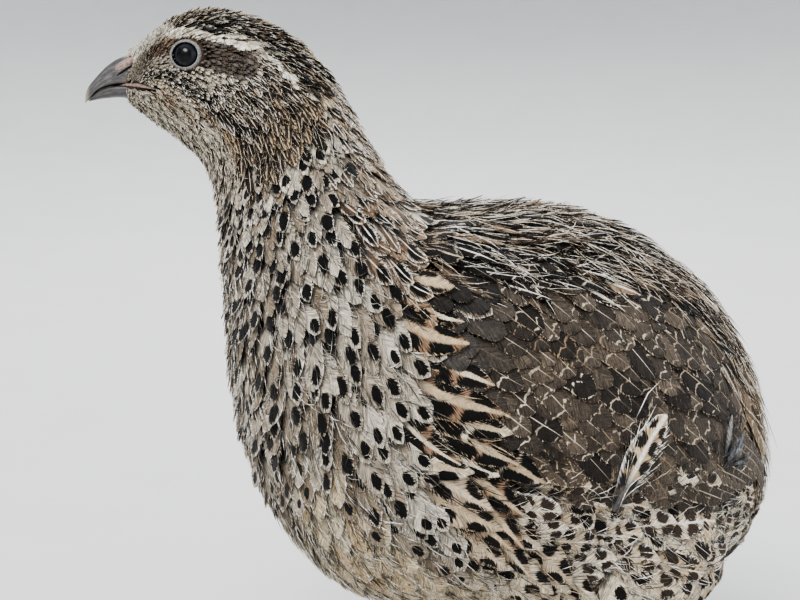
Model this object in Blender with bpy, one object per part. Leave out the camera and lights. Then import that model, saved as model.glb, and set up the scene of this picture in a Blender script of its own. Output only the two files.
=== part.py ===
"""Coturnix quail hen standing alert: neck raised, head turned a little to its right, wings folded.

The model is still and life-size. It faces -X, its left side is -Y, and it stands on Z = 0.
Lengths in the tables are millimetres, and MM turns them into Blender's metres.
"""

import math

import bmesh
import bpy
import numpy as np
from mathutils import Matrix, Vector

MM = 0.001
LEFT, RIGHT = -1, 1
SIDE_WORD = {LEFT: "left", RIGHT: "right"}
GAP = 0.36
ORIGIN_SHIFT = np.array([-13.3, 0.0, 0.0])

# The body is one run of cross-sections from behind the tail to the base of the bill. Each lies
# in the plane through its dorsal and ventral points, given as (x, z), and is half_width wide.
# widest moves the broadest level towards the back, and fullness squares the section.
SECTIONS = [
    # dorsal x, z, ventral x, z, half_width, widest, fullness
    (93.5, 45.0, 87.0, 33.0, 6.0, 0.00, 2.0),
    (90.5, 58.0, 86.0, 33.0, 9.5, 0.00, 2.0),
    (87.0, 71.5, 84.0, 33.0, 13.5, 0.00, 2.0),
    (81.8, 83.0, 80.0, 32.0, 17.8, 0.00, 2.1),
    (75.8, 93.0, 74.0, 28.5, 22.2, 0.00, 2.1),
    (67.5, 102.0, 66.0, 25.5, 27.2, 0.02, 2.2),
    (56.0, 110.5, 55.0, 23.4, 31.8, 0.03, 2.2),
    (42.0, 116.3, 41.0, 22.4, 35.3, 0.04, 2.2),
    (28.0, 118.2, 26.0, 22.4, 37.0, 0.05, 2.2),
    (15.0, 118.4, 11.0, 24.2, 37.5, 0.05, 2.2),
    (7.6, 118.9, -4.0, 28.6, 37.2, 0.04, 2.2),
    (3.4, 119.9, -17.0, 36.0, 36.0, 0.02, 2.2),
    (0.6, 121.2, -27.0, 48.0, 34.0, 0.00, 2.2),
    (-1.6, 122.9, -33.2, 61.0, 31.5, -0.02, 2.2),
    (-3.6, 125.1, -36.8, 75.0, 28.6, -0.04, 2.2),
    (-5.5, 128.0, -38.8, 89.0, 25.2, -0.05, 2.2),
    (-7.6, 131.8, -39.9, 101.0, 21.8, -0.04, 2.15),
    (-9.9, 136.2, -40.6, 111.0, 19.0, -0.02, 2.1),
    (-12.2, 140.8, -41.2, 119.5, 17.0, 0.00, 2.1),
    (-14.7, 145.2, -42.4, 126.0, 15.8, 0.00, 2.1),
    (-17.9, 149.4, -45.0, 130.4, 15.0, 0.02, 2.1),
    (-22.1, 153.8, -48.6, 133.6, 14.2, 0.04, 2.1),
    (-27.8, 158.0, -52.0, 136.2, 13.2, 0.06, 2.1),
    (-34.8, 161.2, -55.4, 138.4, 12.1, 0.08, 2.1),
    (-42.2, 162.3, -57.2, 139.8, 11.0, 0.10, 2.1),
    (-48.8, 161.1, -58.7, 140.9, 9.7, 0.10, 2.1),
    (-54.2, 158.4, -59.9, 141.8, 7.9, 0.08, 2.1),
    (-58.8, 155.0, -60.8, 142.6, 5.9, 0.04, 2.0),
    (-62.3, 152.4, -61.4, 143.4, 3.9, 0.00, 2.0),
]
REAR_STATION = 2.6
REAR_CLOSING = [(0.55, 0.35), (0.45, 0.66), (0.25, 0.88)]  # stations behind the rear, and scale
NECK_STATION = 15.0
HEAD_STATION = 19.4
FACE_STATION = 28.0
TORSO_SIDES, NECK_SIDES, HEAD_SIDES = 28, 24, 28
TORSO_RINGS, NECK_RINGS, HEAD_RINGS = 21, 7, 14
NEAR_CUT = 0.45  # stations between the last ring and a cut

# The head turns about a vertical axis through the neck, a little more at each section.
HEAD_TURN = math.radians(20.0)
TURN_AXIS_X = -22.0
TURN_START, TURN_END = 13.0, 19.0

# Soft rises and hollows of the face: centre (x, y, z), spread and height. y is for both sides.
FACE_RELIEF = [
    ((-50.5, 9.0, 158.2), 2.6, 0.55),   # brow over the eye
    ((-56.8, 6.2, 150.6), 2.3, -0.75),  # hollow of the lores
    ((-60.6, 4.4, 150.4), 1.9, -0.90),  # bare skin behind the nostril
    ((-49.2, 10.5, 153.0), 3.2, -0.35),  # socket
    ((-50.0, 9.5, 145.2), 3.6, 0.55),   # cheek
    ((-38.5, 12.0, 150.5), 3.8, -0.30),  # ear patch
]

EYE_CENTRE = (-46.3, 7.95, 152.1)
EYE_RADIUS = 4.4
EYE_AXIS = (-0.21, 1.0, 0.10)
LID_RADIUS, LID_THICKNESS, LID_OUT = 3.25, 0.55, 3.30
EYE_SIDES, EYE_RINGS, LID_STEPS, LID_SIDES = 16, 8, 16, 6

# The bill along x: culmen height, mouth height and half width, from the gape to the tip.
UPPER_BILL = [
    (-53.8, 147.4, 145.0, 4.6),
    (-56.4, 150.0, 145.9, 4.75),
    (-58.3, 151.8, 146.1, 4.5),
    (-61.0, 152.6, 146.3, 4.0),
    (-62.9, 152.1, 146.3, 3.6),
    (-64.3, 151.3, 146.15, 3.15),
    (-65.8, 150.2, 145.8, 2.7),
    (-67.5, 148.5, 145.1, 2.1),
    (-68.9, 147.0, 143.9, 1.45),
    (-69.8, 145.8, 143.0, 0.9),
    (-70.35, 144.5, 142.6, 0.45),
]
UPPER_TIP = (-70.6, 0.0, 142.5)
LOWER_BILL = [
    (-53.9, 144.8, 143.6, 4.2),
    (-56.4, 145.5, 142.9, 4.4),
    (-58.6, 145.75, 142.9, 4.1),
    (-61.0, 145.95, 143.4, 3.6),
    (-63.3, 145.95, 143.6, 3.1),
    (-65.8, 145.4, 143.4, 2.4),
    (-67.5, 144.65, 143.2, 1.7),
    (-68.8, 143.6, 142.95, 0.9),
]
LOWER_TIP = (-69.7, 0.0, 142.85)
BILL_SIDES, NOSTRIL_RINGS, NOSTRIL_SIDES = 14, 6, 10
BILL_SIDE_FULLNESS, CULMEN_FULLNESS, MOUTH_FULLNESS, CHIN_FULLNESS = 2.6, 1.75, 5.0, 2.2
NOSTRIL_FLAP = ((-61.6, 2.95, 150.3), (3.3, 1.0, 1.1))  # centre and radii
NOSTRIL_SLIT = ((-61.0, 4.0, 149.5), (2.2, 0.75, 0.35))
NOSTRIL_SLOPE, NOSTRIL_TAPER = math.radians(32.0), math.radians(13.0)

# Wing: the span of stations that its base covers, and its edges as angles from the back's ridge.
WING_REAR, WING_FRONT = 4.3, 12.3
WING_STATIONS = [4.3, 5.2, 6.2, 8.0, 10.0, 11.3, 12.3]
WING_TOP_DEG = [46.0, 32.0, 23.0, 18.0, 21.0, 33.0, 50.0]
WING_LOW_DEG = [92.0, 102.0, 106.0, 105.0, 93.0, 84.0, 74.0]
WING_THICK = [1.3, 2.2, 2.8, 3.4, 3.4, 2.4, 1.3]
WING_EDGE_THICK = 0.9
WING_STEPS, WING_ROWS = 16, 7
UNDERSIDE = GAP + 0.08  # how far a wing's or the tail's inner face stays off the torso

# Tiers of wing vanes: name, count, first root (station, degrees), last root, length at the
# first and the last vane, width, heading at the first and the last vane, and tip height.
# Heading 0 points along the body to the tail, and positive headings turn down the flank.
WING_TIERS = [
    ("primary", 5, (5.6, 86.0), (6.8, 98.0), 33.0, 27.0, 7.4, 4.0, 8.0, 0.7),
    ("secondary", 6, (6.6, 60.0), (9.4, 91.0), 31.0, 26.0, 9.0, 20.0, 12.0, 1.3),
    ("tertial", 4, (6.5, 38.0), (7.2, 56.0), 29.0, 29.0, 11.5, 14.0, 16.0, 1.9),
    ("greater_covert", 6, (7.9, 42.0), (10.9, 78.0), 19.0, 14.0, 9.4, 28.0, 20.0, 2.1),
    ("median_covert", 6, (9.2, 40.0), (11.5, 66.0), 15.0, 11.0, 9.4, 30.0, 20.0, 2.5),
    ("scapular", 5, (7.9, 24.0), (11.2, 38.0), 23.0, 17.0, 9.0, 5.0, 14.0, 2.6),
]
WING_TIP_RISE = GAP + 1.5

# A vane: shares of its length with the share of its width there, and its build in millimetres.
VANE_SHAPE = [(0.0, 0.55), (0.4, 1.0), (0.8, 0.82), (1.0, 0.16)]
VANE_THICK, VANE_THINNING, VANE_CAMBER, VANE_LIFT_POWER = 0.66, 0.25, 0.25, 0.8
VANE_ROOT_SUNK, WING_TILT, TAIL_TILT = 0.9, 0.70, -0.35
WALK_STRIDE = 4.0

# Tail: a wedge on the rump that carries two tiers of vanes in pairs. Each tier has a name and
# a count, then the first pair's value and the next pair's change for the root's station and
# degrees, the length and the heading, then the width, and each vane's root and tip height with
# the step down to the next vane.
TAIL_FRONT, TAIL_REAR, TAIL_NARROWS = 5.0, 2.3, 3.4
TAIL_HALF_DEG, TAIL_FRONT_DEG = 54.0, 17.0
TAIL_STEPS, TAIL_COLUMNS, TAIL_EDGE_RISE, TAIL_CROWN = 7, 7, 0.9, 0.9
TAIL_TIERS = [
    ("rectrix", 8, (4.0, -0.12), (5.0, 12.5), (37.0, -2.2), (1.0, 1.2), 8.4, (2.3, 0.15), (3.9, 0.28)),
    ("covert", 4, (4.8, -0.20), (4.5, 9.0), (20.0, -2.0), (1.7, 0.0), 7.6, (2.1, 0.14), (5.2, 0.35)),
]

# Legs: the joint of the toes, per side, with the heel behind and above it.
FOOT_X = {LEFT: 23.0, RIGHT: 31.0}
FOOT_Y = 17.0
HEEL_BACK, HEEL_HEIGHT = 12.5, 27.0
SHANK_RADIUS, SHANK_ANKLE, SHANK_HEEL = 1.75, 2.15, 2.7
SHANK_CROWN = [(-0.10, 0.62), (-0.04, 1.0)]  # rings above the heel: place along it, and scale
SHANK_FOOT = (0.90, 0.99)
FOOT_SOCKET_HEIGHT = 3.4
SCUTES, SCUTE_RISE, SCUTE_START, SCUTE_END = 8, 0.30, 0.10, 0.84
SCUTE_RINGS = [(0.06, False), (0.20, True), (0.94, True)]  # place in a scute, and if raised
FOOT_PAD = (2.55, (3.0, 2.9, 2.3))  # height and radii
THIGH_BULGE = ((51.0, 22.0, 41.0), (21.0, 10.0, 18.0))
TROUSER = ((5.0, 0.6, 5.4), (10.5, 7.4, 8.8))
TOES = [
    # name, yaw from straight ahead, length, root radius, tip radius, bones
    ("inner", 24.0, 15.0, 1.75, 1.15, 3),
    ("middle", 2.0, 20.5, 1.85, 1.15, 4),
    ("outer", -26.0, 16.5, 1.75, 1.10, 4),
    ("hind", 172.0, 6.5, 1.35, 0.95, 2),
]
TOE_OFFSET, TOE_ROOT_LIFT, TOE_PRESSED = 0.2, 1.0, 0.86
PAD_SWELL, PAD_BASE = 0.12, 0.95
CLAW_LENGTH = {"inner": 4.0, "middle": 4.6, "outer": 4.0, "hind": 3.0}
CLAW_STEPS, CLAW_WIDTH, CLAW_HEIGHT, CLAW_DROP, CLAW_HOOK = (0.0, 0.25, 0.5, 0.75), 0.8, 0.98, 0.55, 0.35
CLAW_TIP_HEIGHT = 0.12
TOE_SIDES, CLAW_SIDES, SHANK_SIDES = 8, 6, 10

COLOURS = {
    # slot: (red, green, blue), roughness
    "head_feathers": ((0.40, 0.32, 0.24), 0.85),
    "neck_feathers": ((0.42, 0.32, 0.23), 0.85),
    "breast_feathers": ((0.60, 0.51, 0.39), 0.85),
    "wing_feathers": ((0.17, 0.135, 0.11), 0.80),
    "tail_feathers": ((0.26, 0.20, 0.14), 0.80),
    "thigh_feathers": ((0.58, 0.47, 0.34), 0.85),
    "bill_horn": ((0.24, 0.21, 0.21), 0.45),
    "eye": ((0.02, 0.018, 0.018), 0.08),
    "leg_skin": ((0.56, 0.43, 0.34), 0.55),
    "claw": ((0.25, 0.20, 0.17), 0.45),
}


def clear_scene():
    for thing in list(bpy.data.objects):
        bpy.data.objects.remove(thing)


def smooth_step(value, start, end):
    t = min(1.0, max(0.0, (value - start) / (end - start)))
    return t * t * (3.0 - 2.0 * t)


def section_at(station):
    """The seven values of the cross-section at a station, by a smooth run through SECTIONS."""
    table = np.array(SECTIONS)
    last = len(table) - 1
    i = int(min(max(math.floor(station), 0), last - 1))
    t = station - i
    before, here = table[max(i - 1, 0)], table[i]
    there, after = table[i + 1], table[min(i + 2, last)]
    slope_here, slope_there = (there - before) / 2, (after - here) / 2
    if i == 0:
        slope_here = there - here
    if i == last - 1:
        slope_there = there - here
    return (
        (2 * t**3 - 3 * t**2 + 1) * here
        + (t**3 - 2 * t**2 + t) * slope_here
        + (3 * t**2 - 2 * t**3) * there
        + (t**3 - t**2) * slope_there
    )


def turned(point, station):
    """The point after the turn of the neck and head, which grows with the station."""
    angle = -HEAD_TURN * smooth_step(station, TURN_START, TURN_END)
    x, y = point[0] - TURN_AXIS_X, point[1]
    cos, sin = math.cos(angle), math.sin(angle)
    return np.array([TURN_AXIS_X + x * cos - y * sin, x * sin + y * cos, point[2]])


def rounded_power(value, fullness):
    return math.copysign(abs(value) ** (2.0 / fullness), value)


def flat_point(station, angle, scale=1.0):
    """A point of the section before the head's turn. Angle 0 is the back's ridge, and a
    positive angle goes down the right side."""
    dx, dz, vx, vz, half_width, widest, fullness = section_at(station)
    up = rounded_power(math.cos(angle), fullness) * scale
    out = rounded_power(math.sin(angle), fullness) * scale
    up = up + widest * (1.0 - up * up)
    return np.array(
        [
            (dx + vx) / 2 + up * (dx - vx) / 2,
            half_width * out,
            (dz + vz) / 2 + up * (dz - vz) / 2,
        ]
    )


def face_rise(point):
    """How far the face's relief lifts the surface at this point."""
    rise = 0.0
    for (x, y, z), spread, height in FACE_RELIEF:
        away = (point[0] - x) ** 2 + (abs(point[1]) - y) ** 2 + (point[2] - z) ** 2
        rise += height * math.exp(-away / (2 * spread * spread))
    return rise


def body_point(station, angle, rise=0.0):
    """The body's surface at a station and an angle, raised along its normal."""
    step = 0.02
    here = flat_point(station, angle)
    along = flat_point(station + step, angle) - flat_point(station - step, angle)
    around = flat_point(station, angle + step) - flat_point(station, angle - step)
    normal = np.cross(around, along)
    normal /= np.linalg.norm(normal)
    return turned(here + normal * (rise + face_rise(here)), station)


def section_plane_normal(station):
    """The unit vector across the section's plane, towards the bill."""
    dx, dz, vx, vz = section_at(station)[:4]
    across = turned(np.array([TURN_AXIS_X - (dz - vz), 0.0, dx - vx]), station)
    across -= np.array([TURN_AXIS_X, 0.0, 0.0])
    return across / np.linalg.norm(across)


def body_ring(station, sides, shift=0.0):
    move = section_plane_normal(station) * shift
    return [body_point(station, 2 * math.pi * k / sides) + move for k in range(sides)]


def make_object(name, points, faces, slot=None):
    """A mesh object from points in millimetres, placed over the model's origin."""
    mesh = bpy.data.meshes.new(name)
    mesh.from_pydata([Vector((p + ORIGIN_SHIFT) * MM) for p in points], [], faces)
    mesh.update()
    thing = bpy.data.objects.new(name, mesh)
    bpy.context.scene.collection.objects.link(thing)
    face_outwards(mesh)
    if slot:
        finish(thing, slot)
    return thing


def face_outwards(mesh):
    work = bmesh.new()
    work.from_mesh(mesh)
    bmesh.ops.recalc_face_normals(work, faces=work.faces)
    work.to_mesh(mesh)
    work.free()


def finish(thing, slot):
    """Gives an object its material and smooth shading with sharp rims."""
    thing.data.materials.clear()
    thing.data.materials.append(material(slot))
    thing.data.shade_smooth()
    thing.data.set_sharp_from_angle(angle=math.radians(40.0))


def material(slot):
    found = bpy.data.materials.get(slot)
    if found:
        return found
    colour, roughness = COLOURS[slot]
    made = bpy.data.materials.new(slot)
    made.use_nodes = True
    shader = made.node_tree.nodes["Principled BSDF"]
    shader.inputs["Base Color"].default_value = (*colour, 1.0)
    shader.inputs["Roughness"].default_value = roughness
    shader.inputs["Metallic"].default_value = 0.0
    return made


def loft(name, rings, slot=None, tip=None):
    """A closed skin over rings of equal count, capped by a fan at each end. A tip point, if
    given, closes the last ring in place of its own centre."""
    sides = len(rings[0])
    points = [p for ring in rings for p in ring]
    faces = []
    for r in range(len(rings) - 1):
        for k in range(sides):
            a, b = r * sides + k, r * sides + (k + 1) % sides
            faces += [(a, b, b + sides), (a, b + sides, a + sides)]
    ends = [(0, sum(rings[0]) / sides), (len(rings) - 1, sum(rings[-1]) / sides)]
    if tip is not None:
        ends[1] = (len(rings) - 1, np.array(tip))
    for r, centre in ends:
        points.append(centre)
        for k in range(sides):
            faces.append((r * sides + k, r * sides + (k + 1) % sides, len(points) - 1))
    return make_object(name, points, faces, slot)


def combine(target, others, operation):
    """One Boolean of target with all the others, applied, and the others removed."""
    group = bpy.data.collections.new(target.name + "_pieces")
    bpy.context.scene.collection.children.link(group)
    for other in others:
        for owner in list(other.users_collection):
            owner.objects.unlink(other)
        group.objects.link(other)
    modifier = target.modifiers.new("combine", "BOOLEAN")
    modifier.operation = operation
    modifier.operand_type = "COLLECTION"
    modifier.collection = group
    modifier.solver = "MANIFOLD"
    graph = bpy.context.evaluated_depsgraph_get()
    result = bpy.data.meshes.new_from_object(target.evaluated_get(graph))
    target.modifiers.clear()
    old = target.data
    target.data = result
    result.name = target.name
    bpy.data.meshes.remove(old)
    for other in others:
        bpy.data.objects.remove(other)
    bpy.data.collections.remove(group)
    keep_largest(target)
    return target


def keep_largest(thing):
    """Keeps the closed surface that holds most, and drops sealed hollows and loose scraps."""
    work = bmesh.new()
    work.from_mesh(thing.data)
    bmesh.ops.triangulate(work, faces=work.faces)
    unseen, islands = set(work.faces), []
    while unseen:
        stack, island = [unseen.pop()], []
        while stack:
            face = stack.pop()
            island.append(face)
            for edge in face.edges:
                for near in edge.link_faces:
                    if near in unseen:
                        unseen.remove(near)
                        stack.append(near)
        islands.append(island)

    def volume(island):
        corners = [[v.co for v in face.verts] for face in island]
        return sum(a.dot(b.cross(c)) for a, b, c in corners)

    islands.sort(key=volume)
    loose = [face for island in islands[:-1] for face in island]
    bmesh.ops.delete(work, geom=loose, context="FACES")
    work.to_mesh(thing.data)
    work.free()


def ball(name, centre, radii, rings=10, segments=16):
    """An ellipsoid from a sphere primitive, with its own frame at the model's origin."""
    bpy.ops.mesh.primitive_uv_sphere_add(segments=segments, ring_count=rings, radius=1.0)
    thing = bpy.context.object
    thing.name = name
    place = Matrix.Translation(Vector((np.array(centre) + ORIGIN_SHIFT) * MM))
    thing.data.transform(place @ Matrix.Diagonal((*[r * MM for r in radii], 1.0)))
    return thing


def moved_mesh(thing, matrix):
    thing.data.transform(matrix)
    return thing


def on_head(point, side):
    """A head point given for both sides, on one side and after the head's turn."""
    return turned(np.array([point[0], point[1] * side, point[2]]), FACE_STATION)


def spaced(start, end, count):
    return [start + (end - start) * k / (count - 1) for k in range(count)]


def make_torso():
    """Breast, belly, back and rump, rounded at the rear and cut straight below the neck."""
    rings = [shrunk_ring(REAR_STATION - back, scale) for back, scale in REAR_CLOSING]
    rings += run_of_rings(REAR_STATION, NECK_STATION, TORSO_RINGS, TORSO_SIDES)
    rings.append(body_ring(NECK_STATION, TORSO_SIDES, -GAP / 2))
    return loft("torso", rings, "breast_feathers")


def run_of_rings(start, end, count, sides):
    """Evenly spaced rings that stop just short of the cut at either end."""
    stations = spaced(start + NEAR_CUT, end - NEAR_CUT, count)
    return [body_ring(station, sides) for station in stations]


def shrunk_ring(station, scale):
    """A ring drawn in towards its middle, to round off the rear."""
    return [
        flat_point(station, 2 * math.pi * k / TORSO_SIDES, scale)
        for k in range(TORSO_SIDES)
    ]


def make_neck():
    """The neck between two straight cuts, each half a gap away from its neighbour."""
    rings = [body_ring(NECK_STATION, NECK_SIDES, GAP / 2)]
    rings += run_of_rings(NECK_STATION, HEAD_STATION, NECK_RINGS, NECK_SIDES)
    rings.append(body_ring(HEAD_STATION, NECK_SIDES, -GAP / 2))
    return loft("neck", rings, "neck_feathers")


def bill_ring(row, grow=0.0, lower=False):
    """One section of a mandible: the upper is ridged above, and the lower is rounded below."""
    x, top, bottom, half_width = row
    top, bottom, half_width = top + grow, bottom - grow, half_width + grow
    ring = []
    for k in range(BILL_SIDES):
        angle = 2 * math.pi * k / BILL_SIDES
        out, up = math.sin(angle), math.cos(angle)
        if up > 0:
            fullness = MOUTH_FULLNESS if lower else CULMEN_FULLNESS
        else:
            fullness = CHIN_FULLNESS if lower else MOUTH_FULLNESS
        y = half_width * rounded_power(out, BILL_SIDE_FULLNESS)
        z = (top - bottom) / 2 * rounded_power(up, fullness)
        ring.append(turned(np.array([x, y, (top + bottom) / 2 + z]), FACE_STATION))
    return ring


def make_mandible(name, rows, tip, lower, grow=0.0):
    """A half of the bill, or, with grow, the swollen copy that is cut out of the head for it."""
    first = (rows[0][0] + grow, *rows[0][1:])
    rings = [bill_ring(row, grow, lower) for row in [first, *rows[1:]]]
    point = turned(np.array([tip[0] - grow, tip[1], tip[2] - grow]), FACE_STATION)
    return loft(name, rings, None if grow else "bill_horn", point)


def nostril_piece(name, side, place, radii):
    """An ellipsoid beside the culmen that slopes with it, for the flap or for the slit."""
    thing = ball(name, (0.0, 0.0, 0.0), radii, NOSTRIL_RINGS, NOSTRIL_SIDES)
    centre = on_head(place, side)
    origin = Matrix.Translation(Vector(-ORIGIN_SHIFT * MM))
    slope = Matrix.Rotation(-NOSTRIL_SLOPE, 4, "Y")
    taper = Matrix.Rotation(NOSTRIL_TAPER * side, 4, "Z")
    turn = Matrix.Rotation(-HEAD_TURN, 4, "Z")
    there = Matrix.Translation(Vector((centre + ORIGIN_SHIFT) * MM))
    return moved_mesh(thing, there @ turn @ taper @ slope @ origin)


def make_bill():
    """Both halves of the bill, the upper with its two fleshy flaps over the nostril slits."""
    upper = make_mandible("bill_upper", UPPER_BILL, UPPER_TIP, False)
    flaps = [nostril_piece("flap", side, *NOSTRIL_FLAP) for side in (LEFT, RIGHT)]
    combine(upper, flaps, "UNION")
    slits = [nostril_piece("slit", side, *NOSTRIL_SLIT) for side in (LEFT, RIGHT)]
    combine(upper, slits, "DIFFERENCE")
    finish(upper, "bill_horn")
    make_mandible("bill_lower", LOWER_BILL, LOWER_TIP, True)


def eye_frame(side, out=0.0):
    """The matrix that puts a piece made about Z on the eye's axis."""
    axis = on_head(EYE_AXIS, side) - on_head((0.0, 0.0, 0.0), side)
    axis = Vector(axis).normalized()
    centre = Vector(on_head(EYE_CENTRE, side) + ORIGIN_SHIFT) + axis * out
    return Matrix.Translation(centre * MM) @ axis.to_track_quat("Z", "Y").to_matrix().to_4x4()


def make_lid(side):
    """The bare ring of lid round one eye."""
    bpy.ops.mesh.primitive_torus_add(
        major_radius=LID_RADIUS * MM,
        minor_radius=LID_THICKNESS * MM,
        major_segments=LID_STEPS,
        minor_segments=LID_SIDES,
    )
    return moved_mesh(bpy.context.object, eye_frame(side, LID_OUT))


def eyeball(name, side, grow=0.0):
    bpy.ops.mesh.primitive_uv_sphere_add(
        segments=EYE_SIDES, ring_count=EYE_RINGS, radius=(EYE_RADIUS + grow) * MM
    )
    thing = moved_mesh(bpy.context.object, eye_frame(side))
    thing.name = name
    return thing


def make_head():
    """The head to the base of the bill, with lids round both eyes and the bill's root cut in."""
    rings = [body_ring(HEAD_STATION, HEAD_SIDES, GAP / 2)]
    rings += run_of_rings(HEAD_STATION, FACE_STATION + NEAR_CUT, HEAD_RINGS, HEAD_SIDES)
    head = loft("head", rings)
    combine(head, [make_lid(LEFT), make_lid(RIGHT)], "UNION")
    cutters = [eyeball("socket", side, GAP) for side in (LEFT, RIGHT)]
    cutters.append(make_mandible("upper_root", UPPER_BILL, UPPER_TIP, False, GAP))
    cutters.append(make_mandible("lower_root", LOWER_BILL, LOWER_TIP, True, GAP))
    place, radii = NOSTRIL_FLAP
    grown = [r + GAP for r in radii]
    cutters += [nostril_piece("flap_root", side, place, grown) for side in (LEFT, RIGHT)]
    combine(head, cutters, "DIFFERENCE")
    finish(head, "head_feathers")
    for side, word in SIDE_WORD.items():
        finish(eyeball("eye_" + word, side), "eye")


def walk(station, angle, heading, distance):
    """Where a straight walk over the body's surface ends. Heading 0 goes to the tail, and a
    positive heading turns away from the back's ridge."""
    steps = max(1, int(distance / WALK_STRIDE))
    d = 0.05
    for _ in range(steps):
        along = (body_point(station + d, angle) - body_point(station - d, angle)) / (2 * d)
        around = (body_point(station, angle + d) - body_point(station, angle - d)) / (2 * d)
        stride = distance / steps
        outward = math.copysign(1.0, angle) if abs(angle) > 1e-6 else 1.0
        station -= stride * math.cos(heading) / np.linalg.norm(along)
        angle += outward * stride * math.sin(heading) / np.linalg.norm(around)
    return station, angle


def vane(name, root, heading, length, width, low, high, tilt):
    """A feather's vane as a thin closed plate over the body. It widens from its quill, keeps
    its width and ends in a round point, and rises from low at the root to high at the tip.
    tilt raises the edge that faces away from the back's ridge and sinks the other."""
    top, bottom = [], []
    for t, spread in VANE_SHAPE:
        station, angle = walk(*root, heading, length * t)
        height = low + (high - low) * t**VANE_LIFT_POWER
        thick = VANE_THICK * (1.0 - VANE_THINNING * t)
        for lateral in (-1, 0, 1):
            s, a = station, angle
            if lateral:
                s, a = walk(s, a, heading + lateral * math.pi / 2, width / 2 * spread)
            rise = height + tilt * lateral * spread + (0 if lateral else VANE_CAMBER)
            top.append(body_point(s, a, rise))
            bottom.append(body_point(s, a, rise - thick))
    return plate(name, top, bottom, columns=3)


def plate(name, top, bottom, columns):
    """A closed plate between two like grids of points, split into triangles alike."""
    rows, count = len(top) // columns, len(top)
    faces = []
    for r in range(rows - 1):
        for c in range(columns - 1):
            a = r * columns + c
            b, d = a + 1, a + columns
            for base, flip in ((0, False), (count, True)):
                for tri in ((a, b, d), (b, d + 1, d)):
                    tri = tuple(base + i for i in tri)
                    faces.append(tri[::-1] if flip else tri)
    rim = list(range(columns - 1))
    rim += [r * columns + columns - 1 for r in range(rows - 1)]
    rim += [count - 1 - c for c in range(columns - 1)]
    rim += [(rows - 1 - r) * columns for r in range(rows - 1)]
    for i, a in enumerate(rim):
        b = rim[(i + 1) % len(rim)]
        faces += [(a, a + count, b), (b, a + count, b + count)]
    return make_object(name, top + bottom, faces)


def wing_edge(values, station):
    return float(np.interp(station, WING_STATIONS, values))


def wing_thickness(station, share):
    """The wing's thickness, which thins towards its upper and lower edge."""
    middle = wing_edge(WING_THICK, station)
    arch = math.sin(math.pi * min(1.0, max(0.0, share))) ** 0.6
    return WING_EDGE_THICK + (middle - WING_EDGE_THICK) * arch


def wing_height(station, angle):
    """The height of the wing's outer face over the body where a vane is rooted."""
    top = math.radians(wing_edge(WING_TOP_DEG, station))
    low = math.radians(wing_edge(WING_LOW_DEG, station))
    return GAP + wing_thickness(station, (angle - top) / (low - top))


def make_wing_base():
    """The folded arm and hand with their small coverts, a shell that lies on the body."""
    outer, inner = [], []
    for station in spaced(WING_REAR, WING_FRONT, WING_STEPS):
        top = math.radians(wing_edge(WING_TOP_DEG, station))
        low = math.radians(wing_edge(WING_LOW_DEG, station))
        for r in range(WING_ROWS + 1):
            share = r / WING_ROWS
            angle = -(top + (low - top) * share)
            rise = GAP + wing_thickness(station, share)
            outer.append(body_point(station, angle, rise))
            inner.append(body_point(station, angle, UNDERSIDE))
    return plate("wing_left", outer, inner, WING_ROWS + 1)


def wing_vanes(tier):
    """One tier of the left wing, its vanes spread evenly from the first root to the last."""
    name, count, first, last, long, short, width, turn, end_turn, tip = tier
    pieces = []
    for k in range(count):
        share = k / (count - 1)
        station = first[0] + (last[0] - first[0]) * share
        angle = math.radians(first[1] + (last[1] - first[1]) * share)
        length = long + (short - long) * share
        heading = math.radians(turn + (end_turn - turn) * share)
        low = wing_height(station, angle) - VANE_ROOT_SUNK
        high = WING_TIP_RISE + tip
        root = (station, -angle)
        pieces.append(vane(f"{name}_{k}", root, heading, length, width, low, high, WING_TILT))
    return pieces


def mirrored(thing, name):
    """A copy across the body's middle plane."""
    mesh = thing.data.copy()
    mesh.transform(Matrix.Scale(-1.0, 4, (0.0, 1.0, 0.0)))
    mesh.flip_normals()
    copy = bpy.data.objects.new(name, mesh)
    bpy.context.scene.collection.objects.link(copy)
    return copy


def make_wings():
    """The left wing with its tiers of vanes, and its mirror image."""
    left = make_wing_base()
    combine(left, [piece for tier in WING_TIERS for piece in wing_vanes(tier)], "UNION")
    finish(left, "wing_feathers")
    mirrored(left, "wing_right")


def make_tail_wedge():
    """The rump's wedge that the tail's vanes are rooted in, narrow in front and wide behind."""
    outer, inner = [], []
    for station in spaced(TAIL_REAR, TAIL_FRONT, TAIL_STEPS):
        forward = smooth_step(station, TAIL_NARROWS, TAIL_FRONT)
        half = math.radians(TAIL_HALF_DEG + (TAIL_FRONT_DEG - TAIL_HALF_DEG) * forward)
        for angle in spaced(-half, half, TAIL_COLUMNS):
            rise = GAP + TAIL_EDGE_RISE + TAIL_CROWN * (1.0 - abs(angle) / half)
            outer.append(body_point(station, angle, rise))
            inner.append(body_point(station, angle, UNDERSIDE))
    return plate("tail", outer, inner, TAIL_COLUMNS)


def tail_vanes(tier):
    """One tier of the tail in pairs from the middle out, each vane a step below the last."""
    name, count, stations, degrees, lengths, headings, width, lows, highs = tier
    pieces = []
    for k in range(count):
        pair, side = k // 2, LEFT if k % 2 else RIGHT
        station, spread, length, heading = (
            first + change * pair for first, change in (stations, degrees, lengths, headings)
        )
        root = (station, side * math.radians(spread))
        low, high = lows[0] - lows[1] * k, highs[0] - highs[1] * k
        heading = math.radians(heading)
        pieces.append(vane(f"{name}_{k}", root, heading, length, width, low, high, TAIL_TILT))
    return pieces


def make_tail():
    """The short tail: its wedge, the flight feathers and their upper coverts."""
    tail = make_tail_wedge()
    combine(tail, [piece for tier in TAIL_TIERS for piece in tail_vanes(tier)], "UNION")
    finish(tail, "tail_feathers")


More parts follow.
